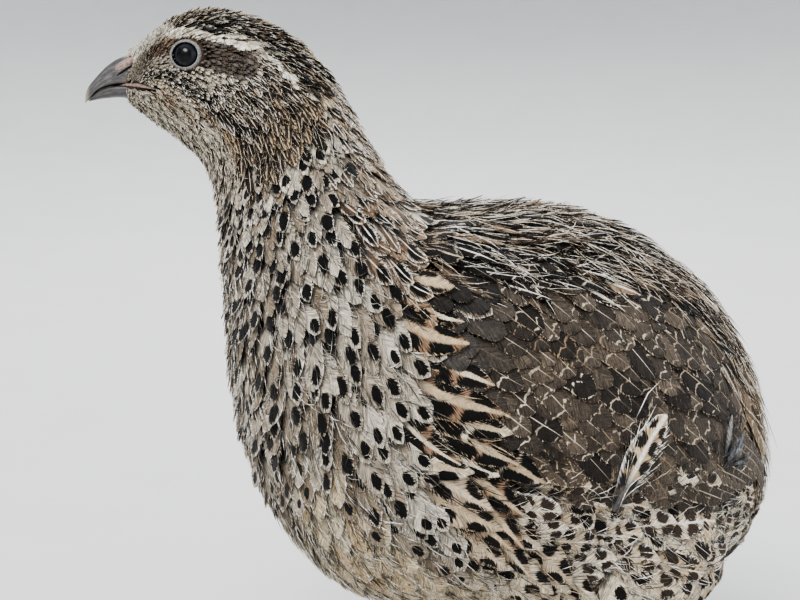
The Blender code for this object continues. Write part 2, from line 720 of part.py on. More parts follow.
def heel_of(side):
    return np.array([FOOT_X[side] + HEEL_BACK, FOOT_Y * side, HEEL_HEIGHT])


def tube_ring(centre, direction, radius, sides, bump=None):
    """A ring across direction. bump(angle) scales it, and no point goes under the floor."""
    direction = direction / np.linalg.norm(direction)
    across = np.cross(direction, [0.0, 0.0, 1.0])
    if np.linalg.norm(across) < 0.2:
        across = np.array([0.0, 1.0, 0.0])
    across /= np.linalg.norm(across)
    over = np.cross(across, direction)
    ring = []
    for k in range(sides):
        angle = 2 * math.pi * (k + 0.5) / sides
        r = radius * (bump(angle) if bump else 1.0)
        point = centre + r * (math.cos(angle) * over + math.sin(angle) * across)
        ring.append(np.array([point[0], point[1], max(point[2], 0.0)]))
    return ring


def make_shank(side, name):
    """The bare tarsus with a row of scutes down its front, each a raised plate."""
    heel = heel_of(side)
    direction = np.array([FOOT_X[side], FOOT_Y * side, FOOT_SOCKET_HEIGHT]) - heel

    def ring(t, radius, bump=None):
        return tube_ring(heel + direction * t, direction, radius, SHANK_SIDES, bump)

    def front(angle):
        return 1.0 + SCUTE_RISE / SHANK_RADIUS * max(0.0, math.cos(angle)) ** 0.5

    rings = [ring(t, SHANK_HEEL * scale) for t, scale in SHANK_CROWN]
    for k in range(SCUTES):
        for part, raised in SCUTE_RINGS:
            t = SCUTE_START + (SCUTE_END - SCUTE_START) * (k + part) / SCUTES
            radius = SHANK_RADIUS + (SHANK_HEEL - SHANK_RADIUS) * (1 - t) ** 3
            rings.append(ring(t, radius, front if raised else None))
    rings += [ring(t, SHANK_ANKLE) for t in SHANK_FOOT]
    shank = loft(name, rings)
    cut_by_copy(shank, bpy.data.objects["torso"], GAP)
    finish(shank, "leg_skin")


def toe_path(side, toe):
    """Where a toe starts on the floor, and the way it points. Positive yaw is inwards."""
    turn = math.radians(toe[1]) * side
    ahead = np.array([-math.cos(turn), -math.sin(turn), 0.0])
    start = np.array([FOOT_X[side], FOOT_Y * side, 0.0])
    return start, ahead


def make_toe(side, toe):
    """A toe as a run of pads: thick in each bone's middle, thin at the joints, flat below."""
    name, yaw, length, root_radius, tip_radius, bones = toe
    start, ahead = toe_path(side, toe)
    rings = []
    for t in spaced(0.0, 1.0, bones * 2 + 1):
        pad = PAD_BASE + PAD_SWELL * math.sin(math.pi * ((t * bones) % 1.0))
        radius = (root_radius + (tip_radius - root_radius) * t) * pad
        height = radius * TOE_PRESSED + TOE_ROOT_LIFT * (1 - t) ** 4
        centre = start + ahead * (TOE_OFFSET + length * t) + np.array([0, 0, height])
        rings.append(tube_ring(centre, ahead, radius, TOE_SIDES))
    return loft("toe_" + name, rings)


def make_foot(side, name):
    """The joint above the toes with all four toes joined to it."""
    height, radii = FOOT_PAD
    foot = ball(name, (FOOT_X[side], FOOT_Y * side, height), radii, 10, 14)
    combine(foot, [make_toe(side, toe) for toe in TOES], "UNION")
    cut_by_copy(foot, bpy.data.objects["shank_" + SIDE_WORD[side]], GAP)
    finish(foot, "leg_skin")


def cut_by_copy(thing, neighbour, grow):
    """Cuts a slightly swollen copy of the neighbour out of a piece."""
    mesh = neighbour.data.copy()
    cutter = bpy.data.objects.new("cutter", mesh)
    bpy.context.scene.collection.objects.link(cutter)
    normals = [v.normal.copy() for v in mesh.vertices]
    for vertex, normal in zip(mesh.vertices, normals):
        vertex.co += normal * (grow * MM)
    combine(thing, [cutter], "DIFFERENCE")


def make_claws(side, word):
    """One curved claw for each toe, its tip just clear of the floor."""
    for toe in TOES:
        name, yaw, length, root_radius, tip_radius, bones = toe
        start, ahead = toe_path(side, toe)
        reach = TOE_OFFSET + length + GAP
        claw = CLAW_LENGTH[name]
        rings = []
        for t in CLAW_STEPS:
            height = tip_radius * (CLAW_HEIGHT - CLAW_DROP * t**1.6)
            centre = start + ahead * (reach + claw * t) + np.array([0, 0, height])
            direction = ahead - np.array([0, 0, CLAW_HOOK * t])
            radius = tip_radius * CLAW_WIDTH * (1 - t) ** 0.7
            rings.append(tube_ring(centre, direction, radius, CLAW_SIDES))
        tip = start + ahead * (reach + claw) + np.array([0, 0, CLAW_TIP_HEIGHT])
        loft(f"claw_{word}_{name}", rings, "claw", tip)


def make_thigh(side, name):
    """The feathered thigh: a bulge on the flank, and the trouser that ends above the heel."""
    (x, y, z), radii = THIGH_BULGE
    thigh = ball(name, (x, y * side, z), radii, 12, 20)
    offset, reach = TROUSER
    heel = heel_of(side)
    centre = (heel[0] + offset[0], heel[1] + offset[1] * side, heel[2] + offset[2])
    trouser = ball("trouser", centre, reach, 8, 14)
    combine(thigh, [trouser], "UNION")
    word = SIDE_WORD[side]
    for neighbour in ("torso", "wing_" + word, "shank_" + word):
        cut_by_copy(thigh, bpy.data.objects[neighbour], GAP)
    finish(thigh, "thigh_feathers")


def make_legs():
    for side, word in SIDE_WORD.items():
        make_shank(side, "shank_" + word)
        make_foot(side, "foot_" + word)
        make_claws(side, word)
        make_thigh(side, "thigh_" + word)


def make_quail():
    clear_scene()
    make_torso()
    make_neck()
    make_bill()
    make_head()
    make_wings()
    make_tail()
    make_legs()
    group = bpy.data.collections.new("coturnix_quail")
    bpy.context.scene.collection.children.link(group)
    for thing in list(bpy.context.scene.collection.objects):
        bpy.context.scene.collection.objects.unlink(thing)
        group.objects.link(thing)


make_quail()
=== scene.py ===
"""Looks of a life-size coturnix quail: skin, feathers, eyes, bill and legs around the solids."""

import math
from functools import cache, partialmethod

import bpy
import numpy as np
from mathutils import Matrix, Vector
from mathutils.bvhtree import BVHTree

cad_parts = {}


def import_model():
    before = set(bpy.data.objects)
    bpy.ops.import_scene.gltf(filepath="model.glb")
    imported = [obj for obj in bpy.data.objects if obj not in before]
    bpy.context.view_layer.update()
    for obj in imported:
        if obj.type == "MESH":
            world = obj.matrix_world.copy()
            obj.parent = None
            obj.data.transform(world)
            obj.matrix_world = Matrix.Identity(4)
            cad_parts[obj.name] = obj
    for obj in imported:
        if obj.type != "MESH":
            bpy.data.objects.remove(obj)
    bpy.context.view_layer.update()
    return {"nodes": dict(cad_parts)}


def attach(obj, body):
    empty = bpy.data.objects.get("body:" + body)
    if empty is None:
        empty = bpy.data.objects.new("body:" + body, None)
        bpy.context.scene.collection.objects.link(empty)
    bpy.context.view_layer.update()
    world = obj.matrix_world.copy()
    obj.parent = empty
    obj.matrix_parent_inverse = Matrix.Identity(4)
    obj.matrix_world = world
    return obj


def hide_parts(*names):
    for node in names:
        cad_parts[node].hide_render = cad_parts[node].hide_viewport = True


MM = 0.001
LEFT, RIGHT = -1, 1
WORD = {LEFT: "left", RIGHT: "right"}
ORIGIN_SHIFT = np.array([-13.3, 0.0, 0.0])
GAP = 0.36
SEED = 11

# Cross-sections from the tail to the bill: dorsal x, z, ventral x, z, half width, how far the
# widest place sits above or below the middle, and fullness. A station is a row's index.
SECTIONS = [
    (93.5, 45.0, 87.0, 33.0, 6.0, 0.00, 2.0),
    (90.5, 58.0, 86.0, 33.0, 9.5, 0.00, 2.0),
    (87.0, 71.5, 84.0, 33.0, 13.5, 0.00, 2.0),
    (81.8, 83.0, 80.0, 32.0, 17.8, 0.00, 2.1),
    (75.8, 93.0, 74.0, 28.5, 22.2, 0.00, 2.1),
    (67.5, 102.0, 66.0, 25.5, 27.2, 0.02, 2.2),
    (56.0, 110.5, 55.0, 23.4, 31.8, 0.03, 2.2),
    (42.0, 116.3, 41.0, 22.4, 35.3, 0.04, 2.2),
    (28.0, 118.2, 26.0, 22.4, 37.0, 0.05, 2.2),
    (15.0, 118.4, 11.0, 24.2, 37.5, 0.05, 2.2),
    (7.6, 118.9, -4.0, 28.6, 37.2, 0.04, 2.2),
    (3.4, 119.9, -17.0, 36.0, 36.0, 0.02, 2.2),
    (0.6, 121.2, -27.0, 48.0, 34.0, 0.00, 2.2),
    (-1.6, 122.9, -33.2, 61.0, 31.5, -0.02, 2.2),
    (-3.6, 125.1, -36.8, 75.0, 28.6, -0.04, 2.2),
    (-5.5, 128.0, -38.8, 89.0, 25.2, -0.05, 2.2),
    (-7.6, 131.8, -39.9, 101.0, 21.8, -0.04, 2.15),
    (-9.9, 136.2, -40.6, 111.0, 19.0, -0.02, 2.1),
    (-12.2, 140.8, -41.2, 119.5, 17.0, 0.00, 2.1),
    (-14.7, 145.2, -42.4, 126.0, 15.8, 0.00, 2.1),
    (-17.9, 149.4, -45.0, 130.4, 15.0, 0.02, 2.1),
    (-22.1, 153.8, -48.6, 133.6, 14.2, 0.04, 2.1),
    (-27.8, 158.0, -52.0, 136.2, 13.2, 0.06, 2.1),
    (-34.8, 161.2, -55.4, 138.4, 12.1, 0.08, 2.1),
    (-42.2, 162.3, -57.2, 139.8, 11.0, 0.10, 2.1),
    (-48.8, 161.1, -58.7, 140.9, 9.7, 0.10, 2.1),
    (-54.2, 158.4, -59.9, 141.8, 7.9, 0.08, 2.1),
    (-58.8, 155.0, -60.8, 142.6, 5.9, 0.04, 2.0),
    (-62.3, 152.4, -61.4, 143.4, 3.9, 0.00, 2.0),
]
TABLE = np.array(SECTIONS)
LAST = len(SECTIONS) - 1
FACE_STATION = 28.0
HEAD_TURN = math.radians(20.0)
TURN_AXIS_X = -22.0
TURN_START, TURN_END = 13.0, 19.0
# Swells and hollows of the face: place, spread and height.
FACE_RELIEF = [
    ((-50.5, 9.0, 158.2), 2.6, 0.55),
    ((-56.8, 6.2, 150.6), 2.3, -0.75),
    ((-60.6, 4.4, 150.4), 1.9, -0.90),
    ((-49.2, 10.5, 153.0), 3.2, -0.35),
    ((-50.0, 9.5, 145.2), 3.6, 0.55),
    ((-38.5, 12.0, 150.5), 3.8, -0.30),
]

# The folded wing as a rise over the body: its span of stations, edges in degrees from the
# back's ridge, and thickness.
WING_STATIONS = [4.3, 5.2, 6.2, 8.0, 10.0, 11.3, 12.3]
WING_TOP_DEG = [46.0, 32.0, 23.0, 18.0, 21.0, 33.0, 50.0]
WING_LOW_DEG = [92.0, 102.0, 106.0, 105.0, 93.0, 84.0, 74.0]
WING_THICK = [1.3, 2.2, 2.8, 3.4, 3.4, 2.4, 1.3]
WING_EDGE_THICK = 0.9

EYE_CENTRE = (-46.3, 7.95, 152.1)
EYE_RADIUS = 4.4
EYE_AXIS = (-0.21, 1.0, 0.10)
CORNEA_RISE = 0.45

# How far the rear end is drawn in, by station: the body under the tail, and the skin.
VENT_CLOSING = [(0.0, 0.25), (0.3, 0.5), (0.7, 0.76), (1.3, 0.92), (2.2, 1.0)]
REAR_CLOSING = [(0.5, 0.3), (0.7, 0.6), (1.1, 0.85), (1.8, 1.0)]
SKIN_ROWS, SKIN_COLUMNS = 300, 160

# A thigh's coat, the height where the thigh goes into the body, the most it stands out, and
# how many roots are tried on it.
THIGH_DEPTH, THIGH_TOP, MOST_SWELL, THIGH_TRIES = 1.8, 44.0, 9.0, 3000

# A spot's place above the feather's tip, the least size that counts as a spot, and how many
# of its sizes it stays clear of others.
SPOT_FALL, LEAST_SPOT, SPOT_CLEAR = 2.3, 0.6, 2.0
BARE_REACH = 1.15

# Feathers stay this clear of the lid's opening, which lies this far out on the eye's axis.
EYE_CLEAR, LID_OUT = 3.1, 2.6

# The dark crown's edge in degrees from the ridge, by station.
CROWN_EDGE = [19, 20.6, 21.3, 22.3, 23, 23.8, 24.6, 25.3, 25.8], [42, 44, 44, 48, 54, 59, 55, 42, 6]
FLANK_TOP, FLANK_FOOT = 61.0, 133.0
COVERT_DROP = math.radians(43.0)
BAKE_PATCH = 0.003
BAR_BOW = 0.35


def srgb(red, green, blue):
    """A colour as seen, 0 to 255, in linear light."""
    seen = np.array([red, green, blue]) / 255.0
    return np.where(seen <= 0.04045, seen / 12.92, ((seen + 0.055) / 1.055) ** 2.4)


WHITE = srgb(242, 238, 230)
CREAM = srgb(228, 217, 198)
BUFF = srgb(200, 178, 148)
SAND = srgb(160, 137, 111)
RUFOUS = srgb(134, 101, 78)
BROWN = srgb(84, 70, 59)
UMBER = srgb(44, 37, 33)
BLACK = srgb(11, 10, 10)
GREY_BROWN = srgb(90, 82, 76)
EAR_GREY = srgb(118, 109, 105)
SLATE = srgb(96, 98, 104)


def smooth(value, start, end):
    """0 before start, 1 after end, and a smooth step between them."""
    t = np.clip((value - start) / (end - start), 0.0, 1.0)
    return t * t * (3.0 - 2.0 * t)


def band(value, low, high, soft):
    """1 between low and high and 0 elsewhere, with soft edges."""
    return smooth(value, low - soft, low + soft) * (1.0 - smooth(value, high - soft, high + soft))


def blend(first, second, share):
    """Rows of colours from first to second by an array of shares."""
    share = np.asarray(share)[..., None]
    return first * (1.0 - share) + second * share


def section_at(station):
    """The seven values of the cross-section at each station."""
    return run_through(TABLE, station)


def run_through(table, place):
    """A smooth run through the rows of a table, at places counted in rows."""
    last = len(table) - 1
    i = np.clip(np.floor(place).astype(int), 0, last - 1)
    t = (place - i)[..., None]
    before, here = table[np.maximum(i - 1, 0)], table[i]
    there, after = table[i + 1], table[np.minimum(i + 2, last)]
    slope_here = np.where((i == 0)[..., None], there - here, (there - before) / 2)
    slope_there = np.where((i == last - 1)[..., None], there - here, (after - here) / 2)
    return (
        (2 * t**3 - 3 * t**2 + 1) * here
        + (t**3 - 2 * t**2 + t) * slope_here
        + (3 * t**2 - 2 * t**3) * there
        + (t**3 - t**2) * slope_there
    )


def turned(points, station):
    """The points after the turn of the neck and head, which grows with the station."""
    angle = -HEAD_TURN * smooth(station, TURN_START, TURN_END)
    x, y = points[..., 0] - TURN_AXIS_X, points[..., 1]
    cos, sin = np.cos(angle), np.sin(angle)
    return np.stack([TURN_AXIS_X + x * cos - y * sin, x * sin + y * cos, points[..., 2]], -1)


def rounded_power(value, fullness):
    return np.sign(value) * np.abs(value) ** (2.0 / fullness)


def flat_point(station, angle):
    """Points of the body before the head's turn. Angle 0 is the back's ridge, and a positive
    angle goes down the right side."""
    section = section_at(station)
    dx, dz, vx, vz, half_width, widest, fullness = (section[..., k] for k in range(7))
    up = rounded_power(np.cos(angle), fullness)
    out = rounded_power(np.sin(angle), fullness)
    up = up + widest * (1.0 - up * up)
    x, z = ((dorsal + ventral) / 2 + up * (dorsal - ventral) / 2 for dorsal, ventral in ((dx, vx), (dz, vz)))
    return np.stack([x, half_width * out, z], -1)


def slopes(station, angle):
    """How the body's surface runs on per station and per radian."""
    d = 0.03
    along = (flat_point(station + d, angle) - flat_point(station - d, angle)) / (2 * d)
    around = (flat_point(station, angle + d) - flat_point(station, angle - d)) / (2 * d)
    return along, around


def unit(vectors):
    return vectors / np.maximum(np.linalg.norm(vectors, axis=-1, keepdims=True), 1e-9)


def face_rise(points):
    """The soft swells and hollows of the face."""
    rise = np.zeros(points.shape[:-1])
    for (x, y, z), spread, height in FACE_RELIEF:
        away = (points[..., 0] - x) ** 2 + (np.abs(points[..., 1]) - y) ** 2
        away = away + (points[..., 2] - z) ** 2
        rise += height * np.exp(-away / (2 * spread * spread))
    return rise


def body_surface(station, angle, rise):
    """Points over the body, raised along its normal, and the normals there. Under the tail the
    body draws in to its rear end."""
    here = flat_point(station, angle)
    under = smooth(np.degrees(np.abs(angle)), 50.0, 85.0)
    closing = 1.0 - (1.0 - np.interp(station, *zip(*VENT_CLOSING))) * under
    middle = (flat_point(station, angle * 0 + math.pi) + flat_point(station, angle * 0)) / 2
    here = middle + (here - middle) * closing[..., None]
    along, around = slopes(station, angle)
    normal = unit(np.cross(around, along))
    lifted = here + normal * (rise + face_rise(here))[..., None]
    tip = turned(lifted + normal, station)
    lifted = turned(lifted, station)
    return lifted, unit(tip - lifted)


class Swell:
    """How far the thighs stand out of the body, looked up by station and angle."""

    steps = (0.2, 2.0)
    stations = np.arange(1.0, 13.01, steps[0])
    degrees = np.arange(70.0, 180.1, steps[1])
    reach = 14.0
    table = np.zeros((len(stations), len(degrees)))

    @classmethod
    def measure(cls, points, faces, side):
        tree = tree_of(points, faces)
        station, degrees = np.meshgrid(cls.stations, cls.degrees, indexing="ij")
        place, normal = body_surface(station, np.radians(degrees) * side, 0 * station)
        for cell in np.ndindex(station.shape):
            out = Vector(normal[cell])
            start = Vector(place[cell]) + out * cls.reach
            away = tree.ray_cast(start, -out, cls.reach)[3]
            cls.table[cell] = min(cls.reach - away, MOST_SWELL) if away is not None else 0.0
        for _ in range(3):
            grown = np.pad(cls.table, 1, mode="edge")
            around = (grown[:-2, 1:-1] + grown[2:, 1:-1] + grown[1:-1, :-2] + grown[1:-1, 2:]) / 4
            cls.table = np.maximum(cls.table * 0.97, (cls.table + around) / 2)

    @classmethod
    def at(cls, station, angle):
        degrees = np.degrees(np.abs(angle))
        row = np.clip((station - cls.stations[0]) / cls.steps[0], 0, len(cls.stations) - 1.001)
        column = np.clip((degrees - cls.degrees[0]) / cls.steps[1], 0, len(cls.degrees) - 1.001)
        i, j = row.astype(int), column.astype(int)
        a, b = row - i, column - j
        t = cls.table
        left, right = (t[i, k] * (1 - a) + t[i + 1, k] * a for k in (j, j + 1))
        return left * (1 - b) + right * b


def triple(*values):
    """Three values a feather, each from an array or from one number for all."""
    return np.stack(np.broadcast_arrays(*values), 1)


def wing_rise(station, angle):
    """How far the folded wing stands over the body, and nothing elsewhere."""
    degrees = np.degrees(np.abs(angle))
    top = np.interp(station, WING_STATIONS, WING_TOP_DEG)
    low = np.interp(station, WING_STATIONS, WING_LOW_DEG)
    thick = np.interp(station, WING_STATIONS, WING_THICK)
    share = (degrees - top) / (low - top)
    arch = np.sin(np.pi * np.clip(share, 0.0, 1.0)) ** 0.6
    height = GAP + WING_EDGE_THICK + (thick - WING_EDGE_THICK) * arch
    inside = smooth(share, -0.14, 0.10) * (1.0 - smooth(share, 0.90, 1.14))
    return height * inside * smooth(station, 3.9, 4.9) * (1.0 - smooth(station, 11.6, 12.9))


def stride(station, angle, heading, distance, side):
    """One straight step over the body. Heading 0 goes to the tail, and a positive heading
    turns away from the back's ridge on that side."""
    along, around = slopes(station, angle)
    long = np.maximum(np.linalg.norm(along, axis=-1), 0.6)
    wide = np.maximum(np.linalg.norm(around, axis=-1), 0.6)
    new_station = station - distance * np.cos(heading) / long
    new_angle = angle + side * distance * np.sin(heading) / wide
    return np.clip(new_station, -0.6, LAST + 0.2), new_angle


# Outlines of feathers as (share of the length, share of the half width).
OUTLINES = {
    "contour": [
        (0, 0.10), (0.14, 0.5), (0.32, 0.86), (0.52, 1), (0.7, 0.97), (0.84, 0.78), (0.94, 0.46), (1, 0.08)
    ],
    "lance": [(0, 0.14), (0.2, 0.72), (0.42, 1), (0.62, 0.88), (0.78, 0.62), (0.9, 0.34), (1, 0.05)],
    "covert": [(0, 0.3), (0.25, 0.85), (0.5, 1), (0.75, 0.99), (0.88, 0.82), (0.96, 0.52), (1, 0.12)],
    "flight": [(0, 0.22), (0.2, 0.78), (0.5, 1), (0.8, 0.94), (0.93, 0.66), (1, 0.12)],
    "hair": [(0, 0.5), (0.3, 1), (0.7, 0.7), (1, 0.05)],
}


class Vane:
    """A closed feather of triangles: a ridged blade, and barbs that stand out past its edges.
    Rows run from the root to the tip, and crowd to the tip by a power over 1."""

    crowd = 1.25

    def __init__(self, outline, segments, barbs, reach=1.12, forward=0.13, fray=0.22):
        shares = np.arange(segments + 1) / segments
        self.rows = 1.0 - (1.0 - shares) ** self.crowd
        table = np.array(OUTLINES[outline])
        self.spread = np.interp(self.rows, table[:, 0], table[:, 1])
        n = segments
        u = [np.zeros(n + 1), -np.ones(n + 1), np.ones(n + 1)]
        row = [np.arange(n + 1.0)] * 3
        rise = [np.zeros(3 * n + 3)]
        faces = []
        for i in range(n):
            r0, r1, l0, l1, e0, e1 = i, i + 1, n + 1 + i, n + 2 + i, 2 * n + 2 + i, 2 * n + 3 + i
            faces += [(r0, r1, l1), (r0, l1, l0), (r1, r0, e0), (r1, e0, e1), (l0, l1, e1), (l0, e1, e0)]
        faces += [(0, n + 1, 2 * n + 2), (n, 3 * n + 2, 2 * n + 1)]
        draw = np.random.default_rng(barbs)
        start = 3 * n + 3
        for side in (-1.0, 1.0):
            for k in range(barbs):
                share = (k + 0.3 + 0.5 * draw.random()) / barbs
                at = n * (0.12 + 0.86 * share)
                end = min(at + n * forward * (0.7 + 0.7 * draw.random()), n + 0.25)
                wide = 0.23 * n / barbs
                out = 1.0 + (reach - 1.0) * (0.3 + 1.4 * draw.random())
                u.append(side * np.array([0.70, 0.70, 0.76, out]))
                row.append(np.array([at - wide, at + wide, at, end]))
                rise.append(np.array([-0.02, -0.02, 0.14, 0.05]))
                a, b, c, tip = range(start, start + 4)
                ring = [(a, b, tip), (b, c, tip), (c, a, tip), (b, a, c)]
                faces += ring if side > 0 else [(q, p, r) for p, q, r in ring]
                start += 4
        self.u, self.row, self.rise = (np.concatenate(part) for part in (u, row, rise))
        self.faces = np.array(faces)
        place = np.arange(len(self.u))
        self.rim = place > n
        self.fray = np.where(self.rim & (place < 3 * n + 3), -fray, 0.0)
        self.fray[3 * n + 6 :: 4] = fray * 1.3
        self.segments = n


VANES = {
    "fine": Vane("contour", 9, 14, reach=1.2, forward=0.2),
    "medium": Vane("contour", 6, 8, reach=1.2, forward=0.22),
    "small": Vane("contour", 4, 5, reach=1.2, forward=0.22),
    "tiny": Vane("contour", 3, 3, reach=1.2, forward=0.25),
    "lance": Vane("lance", 12, 20, reach=1.2, forward=0.16),
    "streak": Vane("lance", 8, 8),
    "covert": Vane("covert", 9, 9, reach=1.06, forward=0.1, fray=0.12),
    "flight": Vane("flight", 14, 8, reach=1.03, forward=0.06, fray=0.06),
}


def wisp_vane():
    """A loose barb: a three-sided sliver in two steps that ends in a point."""
    vane = Vane("hair", 2, 0)
    vane.u = np.array([-1.0, 1.0, 0.0, -1.0, 1.0, 0.0, 0.0])
    vane.row = np.array([0.0, 0, 0, 1, 1, 1, 2])
    vane.rise = np.array([0.0, 0, 0.1, 0, 0, 0.1, 0])
    sides = []
    for a, b in ((0, 1), (1, 2), (2, 0)):
        sides += [(a, b, b + 3), (a, b + 3, a + 3), (a + 3, b + 3, 6)]
    vane.faces = np.array(sides + [(0, 2, 1)])
    vane.rim, vane.fray = np.ones(7, bool), np.zeros(7)
    return vane


VANES["wisp"] = wisp_vane()
THIGH_VANE, VENT_VANE = "medium", "fine"


class Plumes:
    """A group of feathers, one value a feather in each of its arrays."""

    def __init__(self, station, angle, rng):
        self.count = len(station)
        self.station, self.angle = station, angle
        self.chance = rng.random((self.count, 4))
        self.heading = self.bend = self.lift = self.roll = self.high = 0.0
        self.length = self.width = self.follow = 1.0
        self.low, self.camber = -1.0, 0.2
        self.ground, self.mark, self.pale = (np.tile(tone, (self.count, 1)) for tone in (CREAM, BLACK, WHITE))
        self.spot, self.line = np.zeros((2, self.count, 3))

    def __setattr__(self, name, value):
        """Sets a value for every feather, from an array or from one number for all."""
        if name != "count" and isinstance(value, (int, float)):
            value = np.full(self.count, float(value))
        vars(self)[name] = value

    def take(self, keep):
        part = Plumes.__new__(Plumes)
        for name, value in vars(self).items():
            if name != "count":
                setattr(part, name, value[keep])
        part.count = len(part.station)
        return part


def laid_rows(plumes, vane):
    """Where each row of every feather lies over the body: its middle, half across, how far its
    sides bow, and its normal."""
    rows = vane.rows
    centre, across, bow, up = [], [], [], []
    station, angle = plumes.station.copy(), plumes.angle.copy()
    outer = np.where(angle < 0, -1.0, 1.0)
    before = 0.0
    for row, spread in zip(rows, vane.spread):
        heading = plumes.heading + plumes.bend * row
        if row > before:
            station, angle = stride(station, angle, heading, plumes.length * (row - before), outer)
        before = row
        rise = plumes.low + (plumes.high - plumes.low) * row**0.75 + plumes.lift * row**3
        half = plumes.width / 2 * spread
        sides = []
        for lateral in (-1, 0, 1):
            s, a = station, angle
            if lateral:
                s, a = stride(s, a, heading - outer * lateral * math.pi / 2, half, outer)
            tilt = -outer * plumes.roll * lateral * spread
            over = rise + (wing_rise(s, a) + Swell.at(s, a)) * plumes.follow + tilt
            point, normal = body_surface(s, a, over)
            sides.append(point)
            if not lateral:
                up.append(normal)
        centre.append(sides[1])
        across.append((sides[2] - sides[0]) / 2)
        bow.append((sides[2] + sides[0]) / 2 - sides[1])
    return [np.stack(rows_of, 1) for rows_of in (centre, across, bow, up)]


def woven(grids, vane, camber):
    """The points of every feather's vane over its rows, as (feathers, points, 3)."""
    low = np.minimum(vane.row.astype(int), vane.segments - 1)
    share = (vane.row - low)[None, :, None]
    centre, across, bow, up = (g[:, low] * (1 - share) + g[:, low + 1] * share for g in grids)
    stray = np.random.default_rng(len(camber)).random((len(camber), len(vane.u)))
    u = (vane.u * (1.0 + vane.fray * stray**1.6))[..., None]
    arch = np.interp(vane.row, [0, 1, vane.segments - 1, vane.segments], [0.5, 1, 0.8, 0.3])
    ridge = np.maximum(0.0, 1.0 - np.abs(vane.u)) * arch
    over = ridge[None, :] * camber[:, None] + vane.rise[None, :]
    return centre + across * u + bow * u * u + up * over[..., None]


def mesh_piece(name, points, faces, material, rim=None):
    """A mesh object from arrays in working millimetres. rim marks the points of sharp edges."""
    mesh = bpy.data.meshes.new(name)
    mesh.vertices.add(len(points))
    mesh.vertices.foreach_set("co", ((points + ORIGIN_SHIFT) * MM).astype(np.float32).ravel())
    mesh.loops.add(faces.size)
    mesh.loops.foreach_set("vertex_index", faces.astype(np.int32).ravel())
    mesh.polygons.add(len(faces))
    mesh.polygons.foreach_set("loop_start", np.arange(0, faces.size, faces.shape[1], dtype=np.int32))
    mesh.update(calc_edges=True)
    mesh.polygons.foreach_set("use_smooth", np.ones(len(faces), bool))
    if rim is not None:
        ends = np.zeros(len(mesh.edges) * 2, np.int32)
        mesh.edges.foreach_get("vertices", ends)
        sharp = rim[ends.reshape(-1, 2)].all(1)
        mesh.attributes.new("sharp_edge", "BOOLEAN", "EDGE").data.foreach_set("value", sharp)
    mesh.materials.append(material)
    piece = bpy.data.objects.new(name, mesh)
    bpy.context.scene.collection.objects.link(piece)
    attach(piece, "root")
    return piece


def add_vectors(mesh, name, values, kind="FLOAT_VECTOR"):
    values = np.ascontiguousarray(values, np.float32)
    if kind == "FLOAT_COLOR":
        values = np.concatenate([values, np.ones((len(values), 1), np.float32)], 1)
    layer = mesh.attributes.new(name, kind, "POINT")
    layer.data.foreach_set("color" if kind == "FLOAT_COLOR" else "vector", values.ravel())


def add_patches(mesh, spot, offset, faces):
    """The bake map: each tuft is a small patch at its root's place on the unwrapped skin."""
    span = spot.max(0) - spot.min(0)
    place = 0.01 + 0.98 * (spot - spot.min(0)) / np.maximum(span, 1e-6)
    uv = place + offset * BAKE_PATCH / 2
    layer = mesh.uv_layers.new(name="OFBake")
    layer.data.foreach_set("uv", np.clip(uv, 0, 1)[faces.ravel()].astype(np.float32).ravel())


def feather_piece(name, plumes, vane, material, grids=None):
    """One mesh of all the feathers in plumes, with what their material reads."""
    vane = VANES[vane]
    points = woven(grids or laid_rows(plumes, vane), vane, plumes.camber)
    count, size = points.shape[:2]
    faces = (vane.faces[None] + (np.arange(count) * size)[:, None, None]).reshape(-1, 3)
    piece = mesh_piece(name, points.reshape(-1, 3), faces, material, np.tile(vane.rim, count))
    v = np.interp(vane.row, np.arange(len(vane.rows)), vane.rows)
    spread = np.interp(v, vane.rows, vane.spread)
    inside = np.clip(vane.u, -0.97, 0.97)
    fx = plumes.width[:, None] / 2 * (inside * spread)[None]
    fy = plumes.length[:, None] * (1 - v)[None]
    u = np.tile(inside, (count, 1))
    mesh = piece.data
    add_vectors(mesh, "feather", np.stack([fx, fy, u], -1).reshape(-1, 3))
    each = lambda values: np.repeat(values, size, 0)
    chance = np.concatenate([each(plumes.chance[:, :2]), np.tile(v, count)[:, None]], 1)
    add_vectors(mesh, "chance", chance)
    add_vectors(mesh, "spot", each(plumes.spot))
    add_vectors(mesh, "line", each(plumes.line))
    for key in ("ground", "mark", "pale"):
        add_vectors(mesh, key, each(getattr(plumes, key)), "FLOAT_COLOR")
    place = np.stack([plumes.angle / (2 * math.pi) % 1.0, plumes.station], 1)
    offset = np.stack([vane.u, 2 * v - 1], 1)
    add_patches(mesh, each(place), np.tile(offset, (count, 1)), faces)
    return piece


